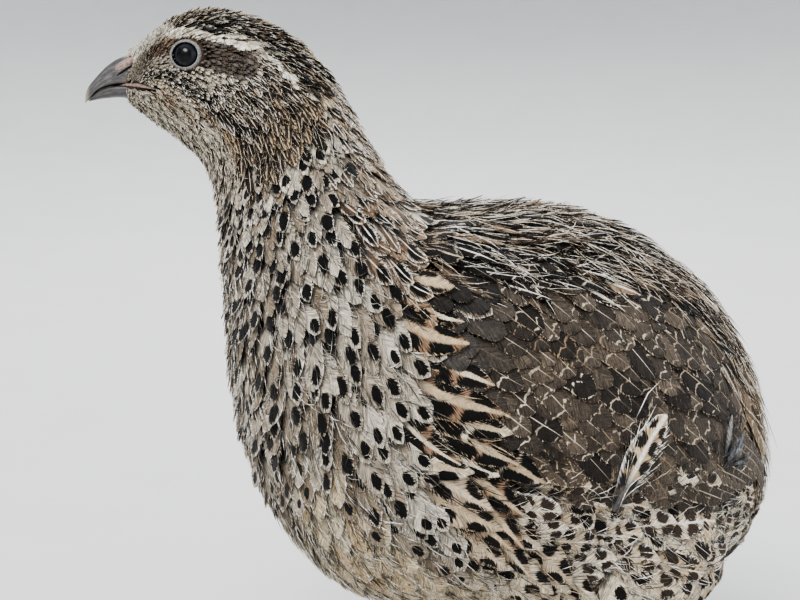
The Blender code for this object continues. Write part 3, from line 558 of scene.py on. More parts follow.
class Graph:
    """Short names for building a material from nodes."""

    def __init__(self, name):
        self.material = bpy.data.materials.new(name)
        self.material.use_nodes = True
        self.tree = self.material.node_tree
        self.shader = self.tree.nodes["Principled BSDF"]

    def put(self, socket, value):
        if isinstance(value, bpy.types.NodeSocket):
            self.tree.links.new(value, socket)
        elif isinstance(value, (int, float)) or not hasattr(socket, "default_value"):
            socket.default_value = value
        elif len(value) == 3 and len(socket.default_value) == 4:
            socket.default_value = (*value, 1.0)
        else:
            socket.default_value = value

    def node(self, kind, inputs, output=0, **settings):
        """A new node: its inputs by place or name, and the output to go on with."""
        node = self.tree.nodes.new("ShaderNode" + kind)
        for key, value in settings.items():
            setattr(node, key, value)
        for key, value in inputs.items():
            self.put(node.inputs[key], value)
        return node.outputs[output]

    def math(self, operation, first, second=0.0, third=0.0):
        return self.node("Math", {0: first, 1: second, 2: third}, operation=operation)

    times = partialmethod(math, "MULTIPLY")
    plus = partialmethod(math, "ADD")
    minus = partialmethod(math, "SUBTRACT")
    over = partialmethod(math, "DIVIDE")
    times_plus = partialmethod(math, "MULTIPLY_ADD")

    def ramp(self, value, start, end, low=0.0, high=1.0):
        """value from start to end, smoothly from low to high."""
        ends = {0: value, 1: start, 2: end, 3: low, 4: high}
        return self.node("MapRange", ends, interpolation_type="SMOOTHSTEP")

    def mix(self, share, first, second):
        return self.node("Mix", {0: share, 6: first, 7: second}, 2, data_type="RGBA")

    def scaled(self, colour, factor):
        return self.node("VectorMath", {0: colour, "Scale": factor}, operation="SCALE")

    def attribute(self, name, colour=False):
        return self.node("Attribute", {}, "Color" if colour else "Vector", attribute_name=name)

    def split(self, vector):
        node = self.tree.nodes.new("ShaderNodeSeparateXYZ")
        self.put(node.inputs[0], vector)
        return list(node.outputs)

    def join(self, x, y, z):
        return self.node("CombineXYZ", {0: x, 1: y, 2: z})

    def noise(self, vector, scale, detail=2.0, rough=0.5):
        inputs = {"Vector": vector, "Scale": scale, "Detail": detail, "Roughness": rough}
        return self.node("TexNoise", inputs, "Fac")

    def place(self):
        """The place on the model in millimetres."""
        return self.scaled(self.node("TexCoord", {}, "Object"), 1.0 / MM)

    def bump(self, height, strength, distance_mm):
        inputs = {"Strength": strength, "Distance": distance_mm * MM, "Height": height}
        self.put(self.shader.inputs["Normal"], self.node("Bump", inputs))

    def finish(self, colour, roughness, specular, **more):
        """The material, with more of its shader's inputs by their names, spaces left out."""
        given = {"BaseColor": colour, "Roughness": roughness, "SpecularIORLevel": specular, **more}
        for socket in self.shader.inputs:
            name = socket.name.replace(" ", "")
            if name in given:
                self.put(socket, given[name])
        return self.material


def feather_material(
    name, spot_period=7.0, spot_long=1.25, bar_period=4.4, bar_wide=0.09, bar_wave=0.5, contrast=0.85,
    down=0.45, roughness=0.72, parting=0.6, shaft_tip=0.35, mottle=0.0,
):
    """Barbs, spots, bars, shaft streak and fringe, read from each feather's own values."""
    g = Graph(name)
    fx, fy, u = g.split(g.attribute("feather"))
    chance, other, v = g.split(g.attribute("chance"))
    radius, first, apart = g.split(g.attribute("spot"))
    shaft, fringe, bars = g.split(g.attribute("line"))
    ground, mark, pale = (g.attribute(key, colour=True) for key in ("ground", "mark", "pale"))
    out = g.math("ABSOLUTE", fx)
    barb = g.times_plus(out, 1.3, fy)
    seed = g.times(chance, 61.0)
    along = g.times(fx, 0.5)
    streak = g.noise(g.join(g.times(barb, 2.6), along, seed), 1.0, 3.0, 0.65)
    streak = g.ramp(streak, 0.33, 0.67)
    hair = g.ramp(g.noise(g.join(g.times(barb, 8.0), along, seed), 1.0, 1.0), 0.35, 0.65)
    split = g.noise(g.join(g.times(barb, 1.5), g.times(fx, 0.2), seed), 1.0, 1.0)
    ragged = g.minus(streak, 0.5)
    side = g.math("SIGN", fx)
    shift = g.times(side, g.minus(other, 0.5))

    fall = g.minus(g.times_plus(g.times(shift, apart), 0.8, fy), first)
    row = g.math("ROUND", g.over(fall, spot_period))
    near = g.minus(fall, g.times(row, spot_period))
    wide = g.over(g.minus(out, apart), radius)
    long = g.over(near, g.times(radius, spot_long))
    away = g.math("SQRT", g.plus(g.math("POWER", wide, 2.0), g.math("POWER", long, 2.0)))
    spots = g.ramp(g.times_plus(ragged, 0.34, away), 1.12, 0.88)
    spots = g.times(spots, g.math("GREATER_THAN", radius, 0.05))

    bow = g.math("POWER", g.minus(out, 1.5), 2.0)
    wave = g.noise(g.join(fx, fy, seed), 0.9, 1.0)
    arc = g.times_plus(bow, BAR_BOW, fy)
    arc = g.times_plus(wave, bar_wave * 4.0, arc)
    arc = g.over(g.times_plus(shift, 1.2, arc), bar_period)
    phase = g.math("ABSOLUTE", g.minus(g.math("FRACT", g.plus(arc, other)), 0.5))
    broken = g.ramp(g.noise(g.join(g.times(fx, 1.4), fy, seed), 0.7, 1.0), 0.36, 0.5)
    bar = g.times(g.times(g.ramp(phase, bar_wide, bar_wide * 0.4), bars), broken)

    streaked = g.times(shaft, g.ramp(v, 1.02, 0.6, shaft_tip, 1.0))
    quill = g.over(out, g.math("MAXIMUM", streaked, 0.001))
    quill = g.ramp(g.times_plus(ragged, 0.5, quill), 1.2, 0.7)
    quill = g.times(quill, g.math("GREATER_THAN", shaft, 0.01))
    rim = g.math("MAXIMUM", g.math("ABSOLUTE", u), g.minus(1.0, g.times(fy, 0.6)))
    edge = g.times_plus(ragged, 0.22, rim)
    edge = g.ramp(edge, g.minus(1.0, fringe), g.minus(1.06, g.times(fringe, 0.5)))

    colour = g.scaled(ground, g.times_plus(streak, contrast, 1.0 - contrast * 0.62))
    if mottle:
        fleck = g.ramp(g.noise(g.join(fx, fy, seed), 1.7, 3.0, 0.65), 0.36, 0.64)
        colour = g.scaled(colour, g.times_plus(fleck, mottle, 1.0 - mottle / 2))
    pale = g.scaled(pale, g.times_plus(streak, 0.45, 0.68))
    colour = g.mix(bar, colour, pale)
    colour = g.mix(spots, colour, mark)
    colour = g.mix(edge, colour, pale)
    colour = g.mix(quill, colour, pale)
    if down:
        colour = g.mix(g.ramp(v, down, down * 0.4, 0.0, 0.8), colour, SLATE * 0.35)
    # Painted shade: darker along the barbs' hairs and in the gaps where barbs part towards the vane's sides,
    # under a broad cloud of tone.
    cloud = g.noise(g.place(), 0.09, 2.0)
    outer = g.ramp(g.math("ABSOLUTE", u), 0.1, 0.75, 0.0, parting)
    gap_shade = g.times(g.ramp(split, 0.42, 0.34), outer)
    shade = g.times(g.times_plus(hair, 0.32, 0.80), g.times_plus(cloud, 0.3, 0.85))
    colour = g.scaled(colour, g.times(shade, g.minus(1.0, gap_shade)))
    g.bump(g.plus(streak, g.times(hair, 0.6)), 0.5, 0.25)
    return g.finish(colour, roughness, 0.25, SheenWeight=0.12, SheenRoughness=0.5)


def poisson(rng, spacing, tries, stations, angles):
    """Scattered roots that keep the local spacing. Returns their stations and angles."""
    station = rng.uniform(*stations, tries)
    angle = rng.uniform(*angles, tries)
    along, around = slopes(station, angle)
    area = np.linalg.norm(np.cross(along, around), axis=-1)
    radius = spacing(station, angle)
    weight = area / radius**2
    keep = rng.random(tries) < weight / np.quantile(weight, 0.985)
    station, angle, radius = station[keep], angle[keep], radius[keep]
    chosen = apart(flat_point(station, angle), radius, rng)
    return station[chosen], angle[chosen]


def apart(points, radius, rng):
    """Places picked in a random order, each its own radius clear of those before it."""
    cell = float(radius.max())
    grid, chosen = {}, []
    keys = np.floor(points / cell).astype(int)
    plain, reach = points.tolist(), radius.tolist()
    steps = [(i, j, k) for i in (-1, 0, 1) for j in (-1, 0, 1) for k in (-1, 0, 1)]
    for n in rng.permutation(len(plain)):
        x, y, z = plain[n]
        i, j, k = keys[n]
        limit = reach[n] ** 2
        clear = True
        for di, dj, dk in steps:
            for px, py, pz in grid.get((i + di, j + dj, k + dk), ()):
                if (px - x) ** 2 + (py - y) ** 2 + (pz - z) ** 2 < limit:
                    clear = False
                    break
            if not clear:
                break
        if clear:
            grid.setdefault((i, j, k), []).append((x, y, z))
            chosen.append(n)
    return np.array(chosen, int)


def reached(plumes, share):
    """The place over the body under each feather at a share of its length."""
    outer = np.where(plumes.angle < 0, -1.0, 1.0)
    station, angle = plumes.station, plumes.angle
    for step in (1, 3, 5):
        heading = plumes.heading + plumes.bend * share * step / 6
        station, angle = stride(station, angle, heading, plumes.length * share / 3, outer)
    return station, angle


def coat_length(station, angle):
    """How long the body's feathers are at each place."""
    degrees = np.degrees(np.abs(angle))
    stations = [1, 4, 9, 12, 15, 17, 19.4, 21, 23, 25, 26.5, 28]
    length = np.interp(station, stations, [8, 13, 15, 14, 10.5, 8.2, 6.6, 5.4, 4.4, 3.0, 2.0, 1.5])
    face = band(station, 21.2, 29.0, 0.5) * band(degrees, 64, 125, 8)
    return length * (1.0 - 0.4 * face)


def coat_depth(station):
    """How far the feathers' roots lie under the coat's surface."""
    return np.interp(station, [0, 4, 12, 16, 19.4, 22, 25, 28], [1.2, 2.6, 3.0, 2.5, 1.9, 1.2, 0.8, 0.45])


def coat_spacing(station, angle):
    share = np.interp(station, [0, 10, 16, 20, 28], [0.27, 0.27, 0.25, 0.21, 0.24])
    return coat_length(station, angle) * share


def paint(plumes, mask, ground, mark, pale, spot, line):
    """Gives the feathers under a mask a look. At its soft rim only some of them take it. A
    pair of colours is mixed by chance, and so is a pair of sizes. None changes nothing."""
    chosen = mask > plumes.chance[:, 3]
    share = plumes.chance[:, 2][chosen]
    for key, pair in (("ground", ground), ("mark", mark), ("pale", pale), ("spot", spot), ("line", line)):
        if pair is not None:
            first, second = (np.array(end, float) for end in pair)
            getattr(plumes, key)[chosen] = blend(first, second, share)


def dress_body(plumes):
    """Sizes, lie and markings of the body's feathers by their place."""
    s, d = plumes.station, np.degrees(np.abs(plumes.angle))
    chance = plumes.chance
    size = 0.86 + 0.28 * chance[:, 0]
    plumes.length = coat_length(s, plumes.angle) * size
    slender = np.interp(s, [1, 9, 13, 16, 20, 24, 28], [0.5, 0.55, 0.5, 0.42, 0.36, 0.4, 0.5])
    plumes.width = plumes.length * slender
    depth = coat_depth(s)
    plumes.low = -depth
    plumes.high = depth * 0.10 + 0.25 * (chance[:, 1] - 0.3) * depth / 2
    plumes.lift = depth * 0.12 * chance[:, 2]
    plumes.roll = (chance[:, 0] - 0.5) * 0.16 * depth
    plumes.camber = plumes.width * 0.045 + 0.03
    lean = np.interp(s, [3, 6, 8, 10, 12, 14, 16], [6, 18, 32, 34, 18, 6, 0])
    lean = lean * np.interp(d, [0, 30, 60, 90, 120, 150, 180], [0, 0.25, 0.7, 1, 1, 0.5, 0])
    plumes.heading = np.radians(lean + (chance[:, 1] - 0.5) * 30)
    plumes.bend = np.radians((chance[:, 0] - 0.5) * 24)
    s, seen = reached(plumes, np.clip(1.0 - SPOT_FALL / plumes.length, 0.4, 1.0))
    d = np.degrees(np.abs(seen))

    spot_size = np.interp(s, [4, 8, 11, 13.5, 15.5, 17.7, 18.3], [1.6, 1.3, 1.4, 1.55, 1.5, 1.2, 0.3])
    spot_size = spot_size * (0.8 + 0.35 * chance[:, 2])
    aft = 1.0 - smooth(s, 6.5, 8.5)
    fade = 1.0 - smooth(d, 121 + 9 * aft, 146 + 10 * aft) * (1.0 - smooth(s, 11.4, 13.4))
    plumes.spot = triple(spot_size * fade, SPOT_FALL + 0.5 * (chance[:, 0] - 0.5), 0)
    plumes.line = triple(0, 0.04 + 0.22 * chance[:, 1], 0)
    tone = np.clip(chance[:, 2] + 0.2 * smooth(d, 120, 150), 0, 1)
    plumes.ground = blend(srgb(204, 196, 182), srgb(142, 127, 109), tone)

    unspotted = ((0, 3, 1), (0, 3, 1))
    dark, light = (BLACK, BLACK), (CREAM, WHITE)
    tan, brown = srgb(164, 138, 112), srgb(102, 83, 68)
    rear = (1.0 - smooth(s, 7.0, 8.5)) * smooth(d, 88, 100) * (1.0 - smooth(d, 138, 152))
    ovals = ((1.4, 2.4, 0), (2.0, 3, 0))
    paint(plumes, rear, (CREAM, BUFF), (BLACK, UMBER), None, ovals, ((0.05, 0.1, 0), (0.1, 0.2, 0.2)))
    belly = smooth(d, 120, 142) * (1.0 - smooth(s, 11.0, 13.0)) * smooth(s, 7.0, 9.0)
    straw = (srgb(212, 200, 176), srgb(196, 175, 143))
    paint(plumes, belly, straw, (RUFOUS, RUFOUS), None, ((0, 2, 1), (0.35, 2.4, 1)), None)
    vent = (1.0 - smooth(s, 3.0, 4.5)) * smooth(d, 105, 125)
    paint(plumes, vent, (WHITE, CREAM), (UMBER, BROWN), None, ((0, 2, 1), (0.9, 2.4, 1.2)), None)
    front = band(s, 11.6, 16.0, 0.7) * (1.0 - smooth(d, 66, 80))
    ovals = ((0.9, 3, 0), (1.9, 3.2, 0))
    paint(plumes, front, (tan, brown), dark, light, ovals, ((0.04, 0.1, 0), (0.26, 0.4, 0.1)))
    paint(plumes, front * 0.35, (BROWN, tan), dark, light, unspotted, ((0.2, 0.2, 0), (0.4, 0.4, 0)))
    side = band(s, 17.7, 21.6, 0.4) * band(d, 40, 124, 9)
    paint(plumes, side, (BLACK, BROWN), dark, (CREAM, BUFF), unspotted, ((0.06, 0.1, 0), (0.28, 0.4, 0)))
    nape = band(s, 12.0, 20.4, 0.8) * (1.0 - smooth(d, 36, 56))
    fawn = (srgb(190, 168, 142), srgb(112, 92, 76))
    ovals = ((0.3, 2.4, 0), (1.2, 3, 0))
    paint(plumes, nape, fawn, dark, light, ovals, ((0.06, 0.1, 0), (0.24, 0.45, 0)))
    throat = band(s, 18.1, 24.0, 0.4) * smooth(d, 112, 132)
    ashy = (srgb(190, 181, 164), srgb(108, 98, 86))
    flecks = ((0, 2, 0.5), (0.55, 1.6, 0.4))
    paint(plumes, throat, ashy, (BROWN, UMBER), (WHITE, CREAM), flecks, ((0.05, 0.1, 0), (0.16, 0.4, 0)))
    back = (1.0 - smooth(s, 11.2, 12.4)) * (1.0 - smooth(d, 50, 62))
    shag = np.maximum(back, band(s, 12.0, 22.0, 1.0) * smooth(d, 116, 145))
    plumes.lift += shag * 0.5 * depth * chance[:, 1] ** 3
    paint(plumes, back, (BLACK, UMBER), dark, (CREAM, SAND), unspotted, ((0.26, 0.05, 0.4), (0.5, 0.25, 0.9)))
    rump = (1.0 - smooth(s, 4.2, 5.4)) * (1.0 - smooth(d, 84, 100))
    paint(plumes, rump, (SAND, UMBER), dark, (CREAM, BUFF), unspotted, ((0.15, 0.1, 0.7), (0.3, 0.3, 1.0)))
    dress_head(plumes, s, d)
    return plumes


def dress_head(plumes, s, d):
    """The head's marks, each over those before it."""

    def dress(mask, ground, pale, first, last, mark=None):
        paint(plumes, mask, ground, mark, pale, ((0, 1, 1), (0, 1, 1)), ((*first, 0), (*last, 0)))

    face = smooth(s, 20.6, 21.8)
    greyish = (srgb(198, 189, 172), srgb(118, 109, 98))
    dress(face, greyish, (WHITE, CREAM), (0.04, 0.1), (0.12, 0.4), (BLACK, UMBER))
    cheek = band(s, 21.0, 25.3, 0.35) * band(d, 97, 121, 6)
    dress(cheek * 0.68, (BLACK, UMBER), (WHITE, CREAM), (0.03, 0.1), (0.1, 0.35))
    jaw = band(s, 21.0, 24.6, 0.5) * band(d, 112, 134, 6)
    dress(jaw * 0.55, (BROWN, GREY_BROWN), (CREAM, BUFF), (0.08, 0.2), (0.16, 0.4))
    behind = band(s, 19.6, 21.9, 0.3) * band(d, 56, 112, 6)
    dress(behind * 0.72, (BLACK, BROWN), (CREAM, WHITE), (0.05, 0.05), (0.2, 0.4))
    ear = 1.0 - smooth(((s - 22.7) / 1.22) ** 2 + ((d - 74) / 15.0) ** 2, 0.85, 1.15)
    dress(ear * 2, (EAR_GREY, GREY_BROWN), (SAND, SAND), (0, 0), (0.03, 0.12))
    lores = band(s, 24.2, 25.8, 0.25) * band(d, 68, 94, 5)
    dress(lores * 1.2, (srgb(88, 75, 66), srgb(158, 138, 122)), (SAND, BUFF), (0, 0), (0.05, 0.2))
    under = band(s, 22.9, 26.8, 0.3) * band(d, 89, 101, 3)
    dress(under * 0.9, (srgb(206, 197, 184), srgb(142, 129, 116)), (WHITE, CREAM), (0, 0.05), (0.06, 0.3))
    stripe = band(s, 21.6, 25.6, 0.3) * band(d, 104, 113, 3)
    dress(stripe * 0.8, (BLACK, UMBER), (CREAM, WHITE), (0.0, 0.02), (0.06, 0.3))
    forehead = smooth(s, 25.3, 26.3) * (1.0 - smooth(d, 58, 70))
    dress(forehead, (CREAM, WHITE), (WHITE, WHITE), (0.03, 0.2), (0.06, 0.4))
    middle = band(s, 25.4, 27.9, 0.3) * (1.0 - smooth(d, 16, 26))
    dress(middle * 0.5, (SAND, BROWN), (CREAM, WHITE), (0.02, 0.1), (0.05, 0.3))
    crown_edge = np.interp(s, *CROWN_EDGE)
    width = np.interp(s, [18, 20, 21.5, 22.8, 24, 25, 26], [10, 12, 13, 12, 11, 17, 26])
    brow = band(d, crown_edge, crown_edge + width, 2.5) * band(s, 18.4, 28.4, 0.6)
    brow = brow * np.interp(s, [18.5, 21, 22.3, 23], [0.45, 0.72, 0.9, 1.6])
    dress(brow, (CREAM, WHITE), (WHITE, CREAM), (0.0, 0.1), (0.05, 0.2))
    crown = band(s, 19.4, 25.9, 0.3) * (1.0 - smooth(d, crown_edge - 3, crown_edge + 3))
    dress(crown * 1.5, (BLACK, UMBER * 0.7), (CREAM, SAND), (0.0, 0.0), (0.05, 0.14))
    dress(crown * 0.3, (BLACK, BLACK), (WHITE, CREAM), (0.03, 0.3), (0.12, 0.45))
    raised = np.flatnonzero(crown > 0.5)
    plumes.high[raised] += 0.45 * plumes.chance[raised, 0]
    plumes.lift[raised] += 0.8 * plumes.chance[raised, 1] ** 3
    plumes.length[raised] *= 1.15
    parting = band(s, 19.4, 26.1, 0.4) * (1.0 - smooth(d, 4, 9))
    dress(parting * 0.8, (BUFF, CREAM), (CREAM, CREAM), (0.1, 0.3), (0.1, 0.3))


def tail_slope(station, angle):
    """How steeply the way to the tail falls at each place, seen from the side."""
    along = -slopes(station, angle)[0]
    return np.arctan2(-along[:, 2], along[:, 0])


def side_roots(step, drop, middle, box, rng):
    """A staggered lattice over the left side, set along a slope that falls by drop, within a box
    of the side view. Returns its stations and angles."""
    reach = np.arange(-24.0, 25.0)
    i, j = (grid.ravel() for grid in np.meshgrid(reach, reach, indexing="ij"))
    down = np.array([math.cos(drop), -math.sin(drop)])
    over = np.array([math.sin(drop), math.cos(drop)])
    j = j + 0.5 * (i % 2)
    spots = np.array(middle) + i[:, None] * step[0] * down + j[:, None] * step[1] * over
    (low_x, low_z), (high_x, high_z) = box
    x, z = spots.T
    spots = spots[(x > low_x) & (x < high_x) & (z > low_z) & (z < high_z)]
    return near_side(spots + rng.normal(0, 0.18, spots.shape), (4.0, 13.0))


def near_side(spots, stations):
    """Stations and angles of the left side's places that show at x, z in the side view."""
    station, angle = np.meshgrid(
        np.arange(*stations, 0.06), np.radians(np.arange(8.0, 172.0, 1.0)), indexing="ij"
    )
    station, angle = station.ravel(), angle.ravel()
    seen = flat_point(station, angle)[:, [0, 2]]
    best = np.array([np.argmin(((seen - spot) ** 2).sum(1)) for spot in spots])
    return station[best], -angle[best]


def wing_coverts(side, rng):
    """Rows of rounded coverts on a lattice that slopes with the folded wing."""
    box = ((-13.0, 42.0), (70.0, 120.0))
    station, angle = side_roots((3.9, 3.9), COVERT_DROP, (35.0, 80.0), box, rng)
    degrees = np.degrees(-angle)
    top = np.interp(station, WING_STATIONS, WING_TOP_DEG) + 9
    low = np.interp(station, WING_STATIONS, WING_LOW_DEG) - 5
    keep = (degrees > top) & (degrees < low) & (station > 5.15) & (station < 12.3)
    # Painted shade for the coverts under the scapulars, strongest at the top edge.
    shade = 1.0 - smooth((degrees - top)[keep], 10, 22)
    p = Plumes(station[keep], angle[keep] * -side, rng)
    s = p.station
    p.length = np.interp(s, [6, 9, 12], [15.0, 12.5, 8.5]) * (0.85 + 0.3 * p.chance[:, 0])
    p.width = np.interp(s, [6, 9, 12], [6.3, 5.8, 5.0]) * (0.9 + 0.2 * p.chance[:, 2])
    p.heading = COVERT_DROP - tail_slope(s, -np.abs(p.angle)) + np.radians((p.chance[:, 1] - 0.5) * 22)
    p.low, p.high = -1.1, 0.7 + 0.7 * p.chance[:, 0]
    p.roll = 0.3 + 0.3 * (p.chance[:, 1] - 0.5)
    p.camber = 0.45
    dark = smooth(s, 9.6, 11.4)
    p.ground = blend(blend(srgb(108, 96, 83), srgb(58, 51, 46), p.chance[:, 2]), srgb(74, 71, 69), dark * 0.8)
    # Painted shade at the top edge, and a few coverts darker by chance, blend the ground towards umber.
    shade_and_dusk = 0.8 * np.maximum(shade, (p.chance[:, 0] > 0.85) * (1.0 - dark))
    p.ground = blend(p.ground, UMBER * 0.6, shade_and_dusk)
    p.pale = blend(CREAM, SAND, p.chance[:, 3])
    seen = rng.random((2, p.count)) * (1.0 - dark)
    p.line = triple(0.11 * smooth(seen[0], 0.1, 0.7), 0.03 + 0.14 * seen[1] ** 2, smooth(seen[1], 0.1, 0.6))
    return p


def even(spacing):
    """The same spacing everywhere, as poisson asks for it."""
    return lambda station, angle: np.full(len(station), spacing)


def row_of(first, last, count):
    """Evenly spaced roots from first to last, each (station, degrees), on the left."""
    share = np.linspace(0.0, 1.0, count)
    station, degrees = ((a + (b - a) * share) for a, b in zip(first, last))
    return station, -np.radians(degrees), share


# The wing's long feathers: count, first and last root (station, degrees), length and heading
# at the first and the last, width, height at the tip, and the shares of cream and of bars.
WING_ROWS = {
    "primary": (9, (5.3, 84.0), (6.9, 99.0), (34.0, 27.0), (4.0, 9.0), 6.4, 2.2, 0.3, 0.3),
    "secondary": (11, (6.4, 58.0), (9.6, 93.0), (30.0, 24.0), (20.0, 14.0), 8.0, 2.9, 0.3, 0.8),
    "tertial": (6, (6.3, 36.0), (7.3, 58.0), (27.0, 28.0), (13.0, 17.0), 10.0, 3.6, 0.7, 1.0),
    "inner_tertial": (6, (7.5, 33.0), (8.6, 52.0), (25.0, 24.0), (14.0, 20.0), 8.5, 4.2, 0.8, 1.0),
}


def wing_flight(side, rng):
    """The folded wing's flight feathers, row by row."""
    groups = []
    for count, first, last, lengths, headings, width, tip, cream, bars in WING_ROWS.values():
        station, angle, share = row_of(first, last, count)
        p = Plumes(station, angle * -side, rng)
        p.length = lengths[0] + (lengths[1] - lengths[0]) * share
        p.heading = np.radians(headings[0] + (headings[1] - headings[0]) * share)
        p.bend = np.radians(6 * (p.chance[:, 0] - 0.3))
        p.width = width
        p.follow = 0.0
        p.low = wing_rise(p.station, p.angle) - 0.7
        p.high = tip + 0.1 * p.chance[:, 0]
        p.roll = 0.35
        p.camber = 0.35
        p.ground = blend(srgb(108, 94, 80), UMBER, 0.1 + 0.9 * p.chance[:, 2])
        p.pale = blend(BUFF, CREAM, np.full(count, cream))
        shaft = (0.04 + 0.4 * cream) * (0.3 + p.chance[:, 1])
        p.line = triple(shaft, 0.03 + 0.1 * p.chance[:, 3], bars)
        groups.append(p)
    return join_plumes(groups)


def join_plumes(groups):
    """One group of all the feathers."""
    whole = groups[0].take(slice(None))
    for name in vars(whole):
        if name != "count":
            setattr(whole, name, np.concatenate([getattr(p, name) for p in groups]))
    whole.count = len(whole.station)
    return whole


def scapulars(side, rng):
    """Long streaked feathers of the shoulder over the wing's top."""
    station, angle = poisson(rng, even(2.4), 12000, (5.0, 12.4), np.radians([9.0, 58.0]))
    degrees = np.degrees(angle)
    top = np.interp(station, WING_STATIONS, WING_TOP_DEG)
    keep = (degrees < top + 29 - 1.1 * np.maximum(0, station - 9) ** 2) & (station < 12.2)
    p = Plumes(station[keep], angle[keep] * side, rng)
    chance = p.chance
    p.length = np.interp(p.station, [5, 9, 12], [15, 18, 14]) * (0.9 + 0.25 * chance[:, 0])
    p.width = p.length * (0.18 + 0.1 * rng.random(p.count))
    drop = np.radians(np.interp(np.degrees(np.abs(p.angle)), [10, 40, 60], [4, 17, 24]))
    p.heading = drop + np.radians(rng.normal(0, 11, p.count))
    p.bend = np.radians(rng.normal(2, 12, p.count))
    p.low, p.high = -1.6, 0.9 + 1.3 * chance[:, 0]
    p.lift = 1.7 * rng.random(p.count) ** 3
    p.roll = 0.7 * (chance[:, 1] - 0.5)
    p.camber = 0.35
    plain, warm = blend(BLACK, UMBER, chance[:, 2] ** 2), blend(SAND, BROWN, chance[:, 3])
    p.ground = blend(plain, warm, 0.85 * (chance[:, 1] > 0.74))
    p.pale = blend(WHITE, BUFF, chance[:, 3] * 0.8)
    streak = rng.random((2, p.count))
    p.line = triple(0.03 + 0.42 * streak[0] ** 2, 0.02 + 0.2 * streak[1] ** 2, 0.7 * chance[:, 2])
    return p


def flank_plumes(side, rng):
    """Long lance-shaped feathers that leave the side of the breast and cover the wing's edge."""
    station, angle = poisson(rng, even(4.9), 9000, (7.6, 13.6), np.radians([FLANK_TOP, FLANK_FOOT]))
    degrees = np.degrees(angle)
    keep = flank_zone(station, degrees) > 0.5
    p = Plumes(station[keep], angle[keep] * side, rng)
    chance = p.chance
    degrees = degrees[keep]
    p.length = np.interp(degrees, [60, 72, 85, 130], [10, 15, 22, 20]) * (0.88 + 0.24 * chance[:, 0])
    p.width = 1.5 + p.length * 0.36
    drop = np.interp(degrees, [55, 75, 95, 130], [36, 44, 50, 36])
    lie = np.radians(drop + (chance[:, 1] - 0.5) * 11)
    p.heading = np.clip(lie - tail_slope(p.station, -np.abs(p.angle)), -0.5, 1.2)
    p.bend = np.radians(14 * chance[:, 2])
    p.low, p.high = -2.2, 0.9 + 1.0 * chance[:, 0]
    p.lift = 0.5 * chance[:, 1]
    p.roll = 0.5 * (chance[:, 2] - 0.5)
    p.camber = 0.45
    upper = 1.0 - smooth(degrees, 96, 124)
    warm = chance[:, 2] * upper
    p.ground = blend(blend(CREAM, BUFF, chance[:, 2]), RUFOUS, np.clip(warm * 1.2, 0, 0.8))
    p.mark = blend(BLACK, UMBER, chance[:, 1] * 0.5)
    p.pale = blend(CREAM, BUFF, chance[:, 0])
    size = np.interp(degrees, [60, 90, 106, 132], [2.7, 2.9, 2.5, 1.4]) * (0.82 + 0.3 * chance[:, 3])
    p.spot = triple(size, 3.8 + 1.2 * chance[:, 0], 2.3 + 0.3 * chance[:, 1])
    p.line = triple(0.45 + 0.65 * chance[:, 0] * upper, 0.08 + 0.14 * chance[:, 1], 0)
    return p


# The rows of plumes along the wing's lower edge: first and last root (station, degrees).
REAR_ROWS = [((9.9, 108.0), (4.6, 101.0)), ((9.4, 118.0), (4.3, 110.0)), ((9.3, 133.0), (4.2, 121.0))]
REAR_PLUMES = 13


def rear_plumes(side, rng):
    """Long pale feathers with dark ovals along the wing's lower edge, and one plume that has
    slipped up over the wing on the left."""
    groups = []
    count = REAR_PLUMES
    for first, last in REAR_ROWS:
        station, angle = row_of(first, last, count)[:2]
        p = Plumes(station + rng.normal(0, 0.1, count), angle * -side + rng.normal(0, 0.03, count), rng)
        p.length, p.width = 15.0 + 4.0 * p.chance[:, 0], 6.6 + 1.2 * p.chance[:, 1]
        p.heading = np.radians(-4.0 + rng.normal(0, 10, count))
        p.bend = np.radians(14.0 * (p.chance[:, 2] - 0.2))
        p.ground = blend(CREAM, BUFF, p.chance[:, 2])
        p.mark = blend(UMBER, BROWN, p.chance[:, 3] * 0.6)
        p.line = triple(0.08 + 0.14 * p.chance[:, 0], 0.1 + 0.15 * p.chance[:, 1], 0)
        p.spot = triple(1.25 + 0.5 * p.chance[:, 3], 2.6 + p.chance[:, 0], 1.7)
        p.low, p.high = -2.0, 0.9 + 0.7 * p.chance[:, 1]
        groups.append(p)
    if side == LEFT:
        p = groups[0].take([2])
        p.station, p.angle = 7.35, math.radians(-109.0)
        p.heading, p.bend = math.radians(-86.0), math.radians(34.0)
        p.length, p.width = 24.0, 7.0
        p.low, p.high, p.roll = 1.2, 2.6, 0.6
        p.ground, p.mark, p.pale = BUFF[None], UMBER[None], WHITE[None]
        p.line, p.spot = np.array([[0.5, 0.3, 0.0]]), np.array([[1.8, 3.4, 2.3]])
        groups.append(p)
        groups.append(grey_down(groups[1], rng))
    whole = join_plumes(groups)
    whole.camber = 0.45
    return whole


def grey_down(plumes, rng):
    """A tuft of down that shows where the left wing's tip lies on the tail."""
    count = 9
    p = plumes.take(np.arange(count))
    p.station = rng.normal(4.9, 0.16, count)
    p.angle = np.radians(rng.normal(-95.0, 2.5, count))
    p.heading = np.radians(np.linspace(-96.0, -28.0, count))
    p.bend = np.radians(rng.normal(10.0, 12.0, count))
    p.length, p.width = (least + more * rng.random(count) for least, more in ((6.0, 3.5), (1.3, 0.7)))
    p.low, p.high = 0.8, 2.6 + 0.8 * rng.random(count)
    p.ground = blend(srgb(116, 118, 121), srgb(162, 162, 162), rng.random(count))
    p.spot, p.line = 0 * p.spot, 0 * p.line
    return p


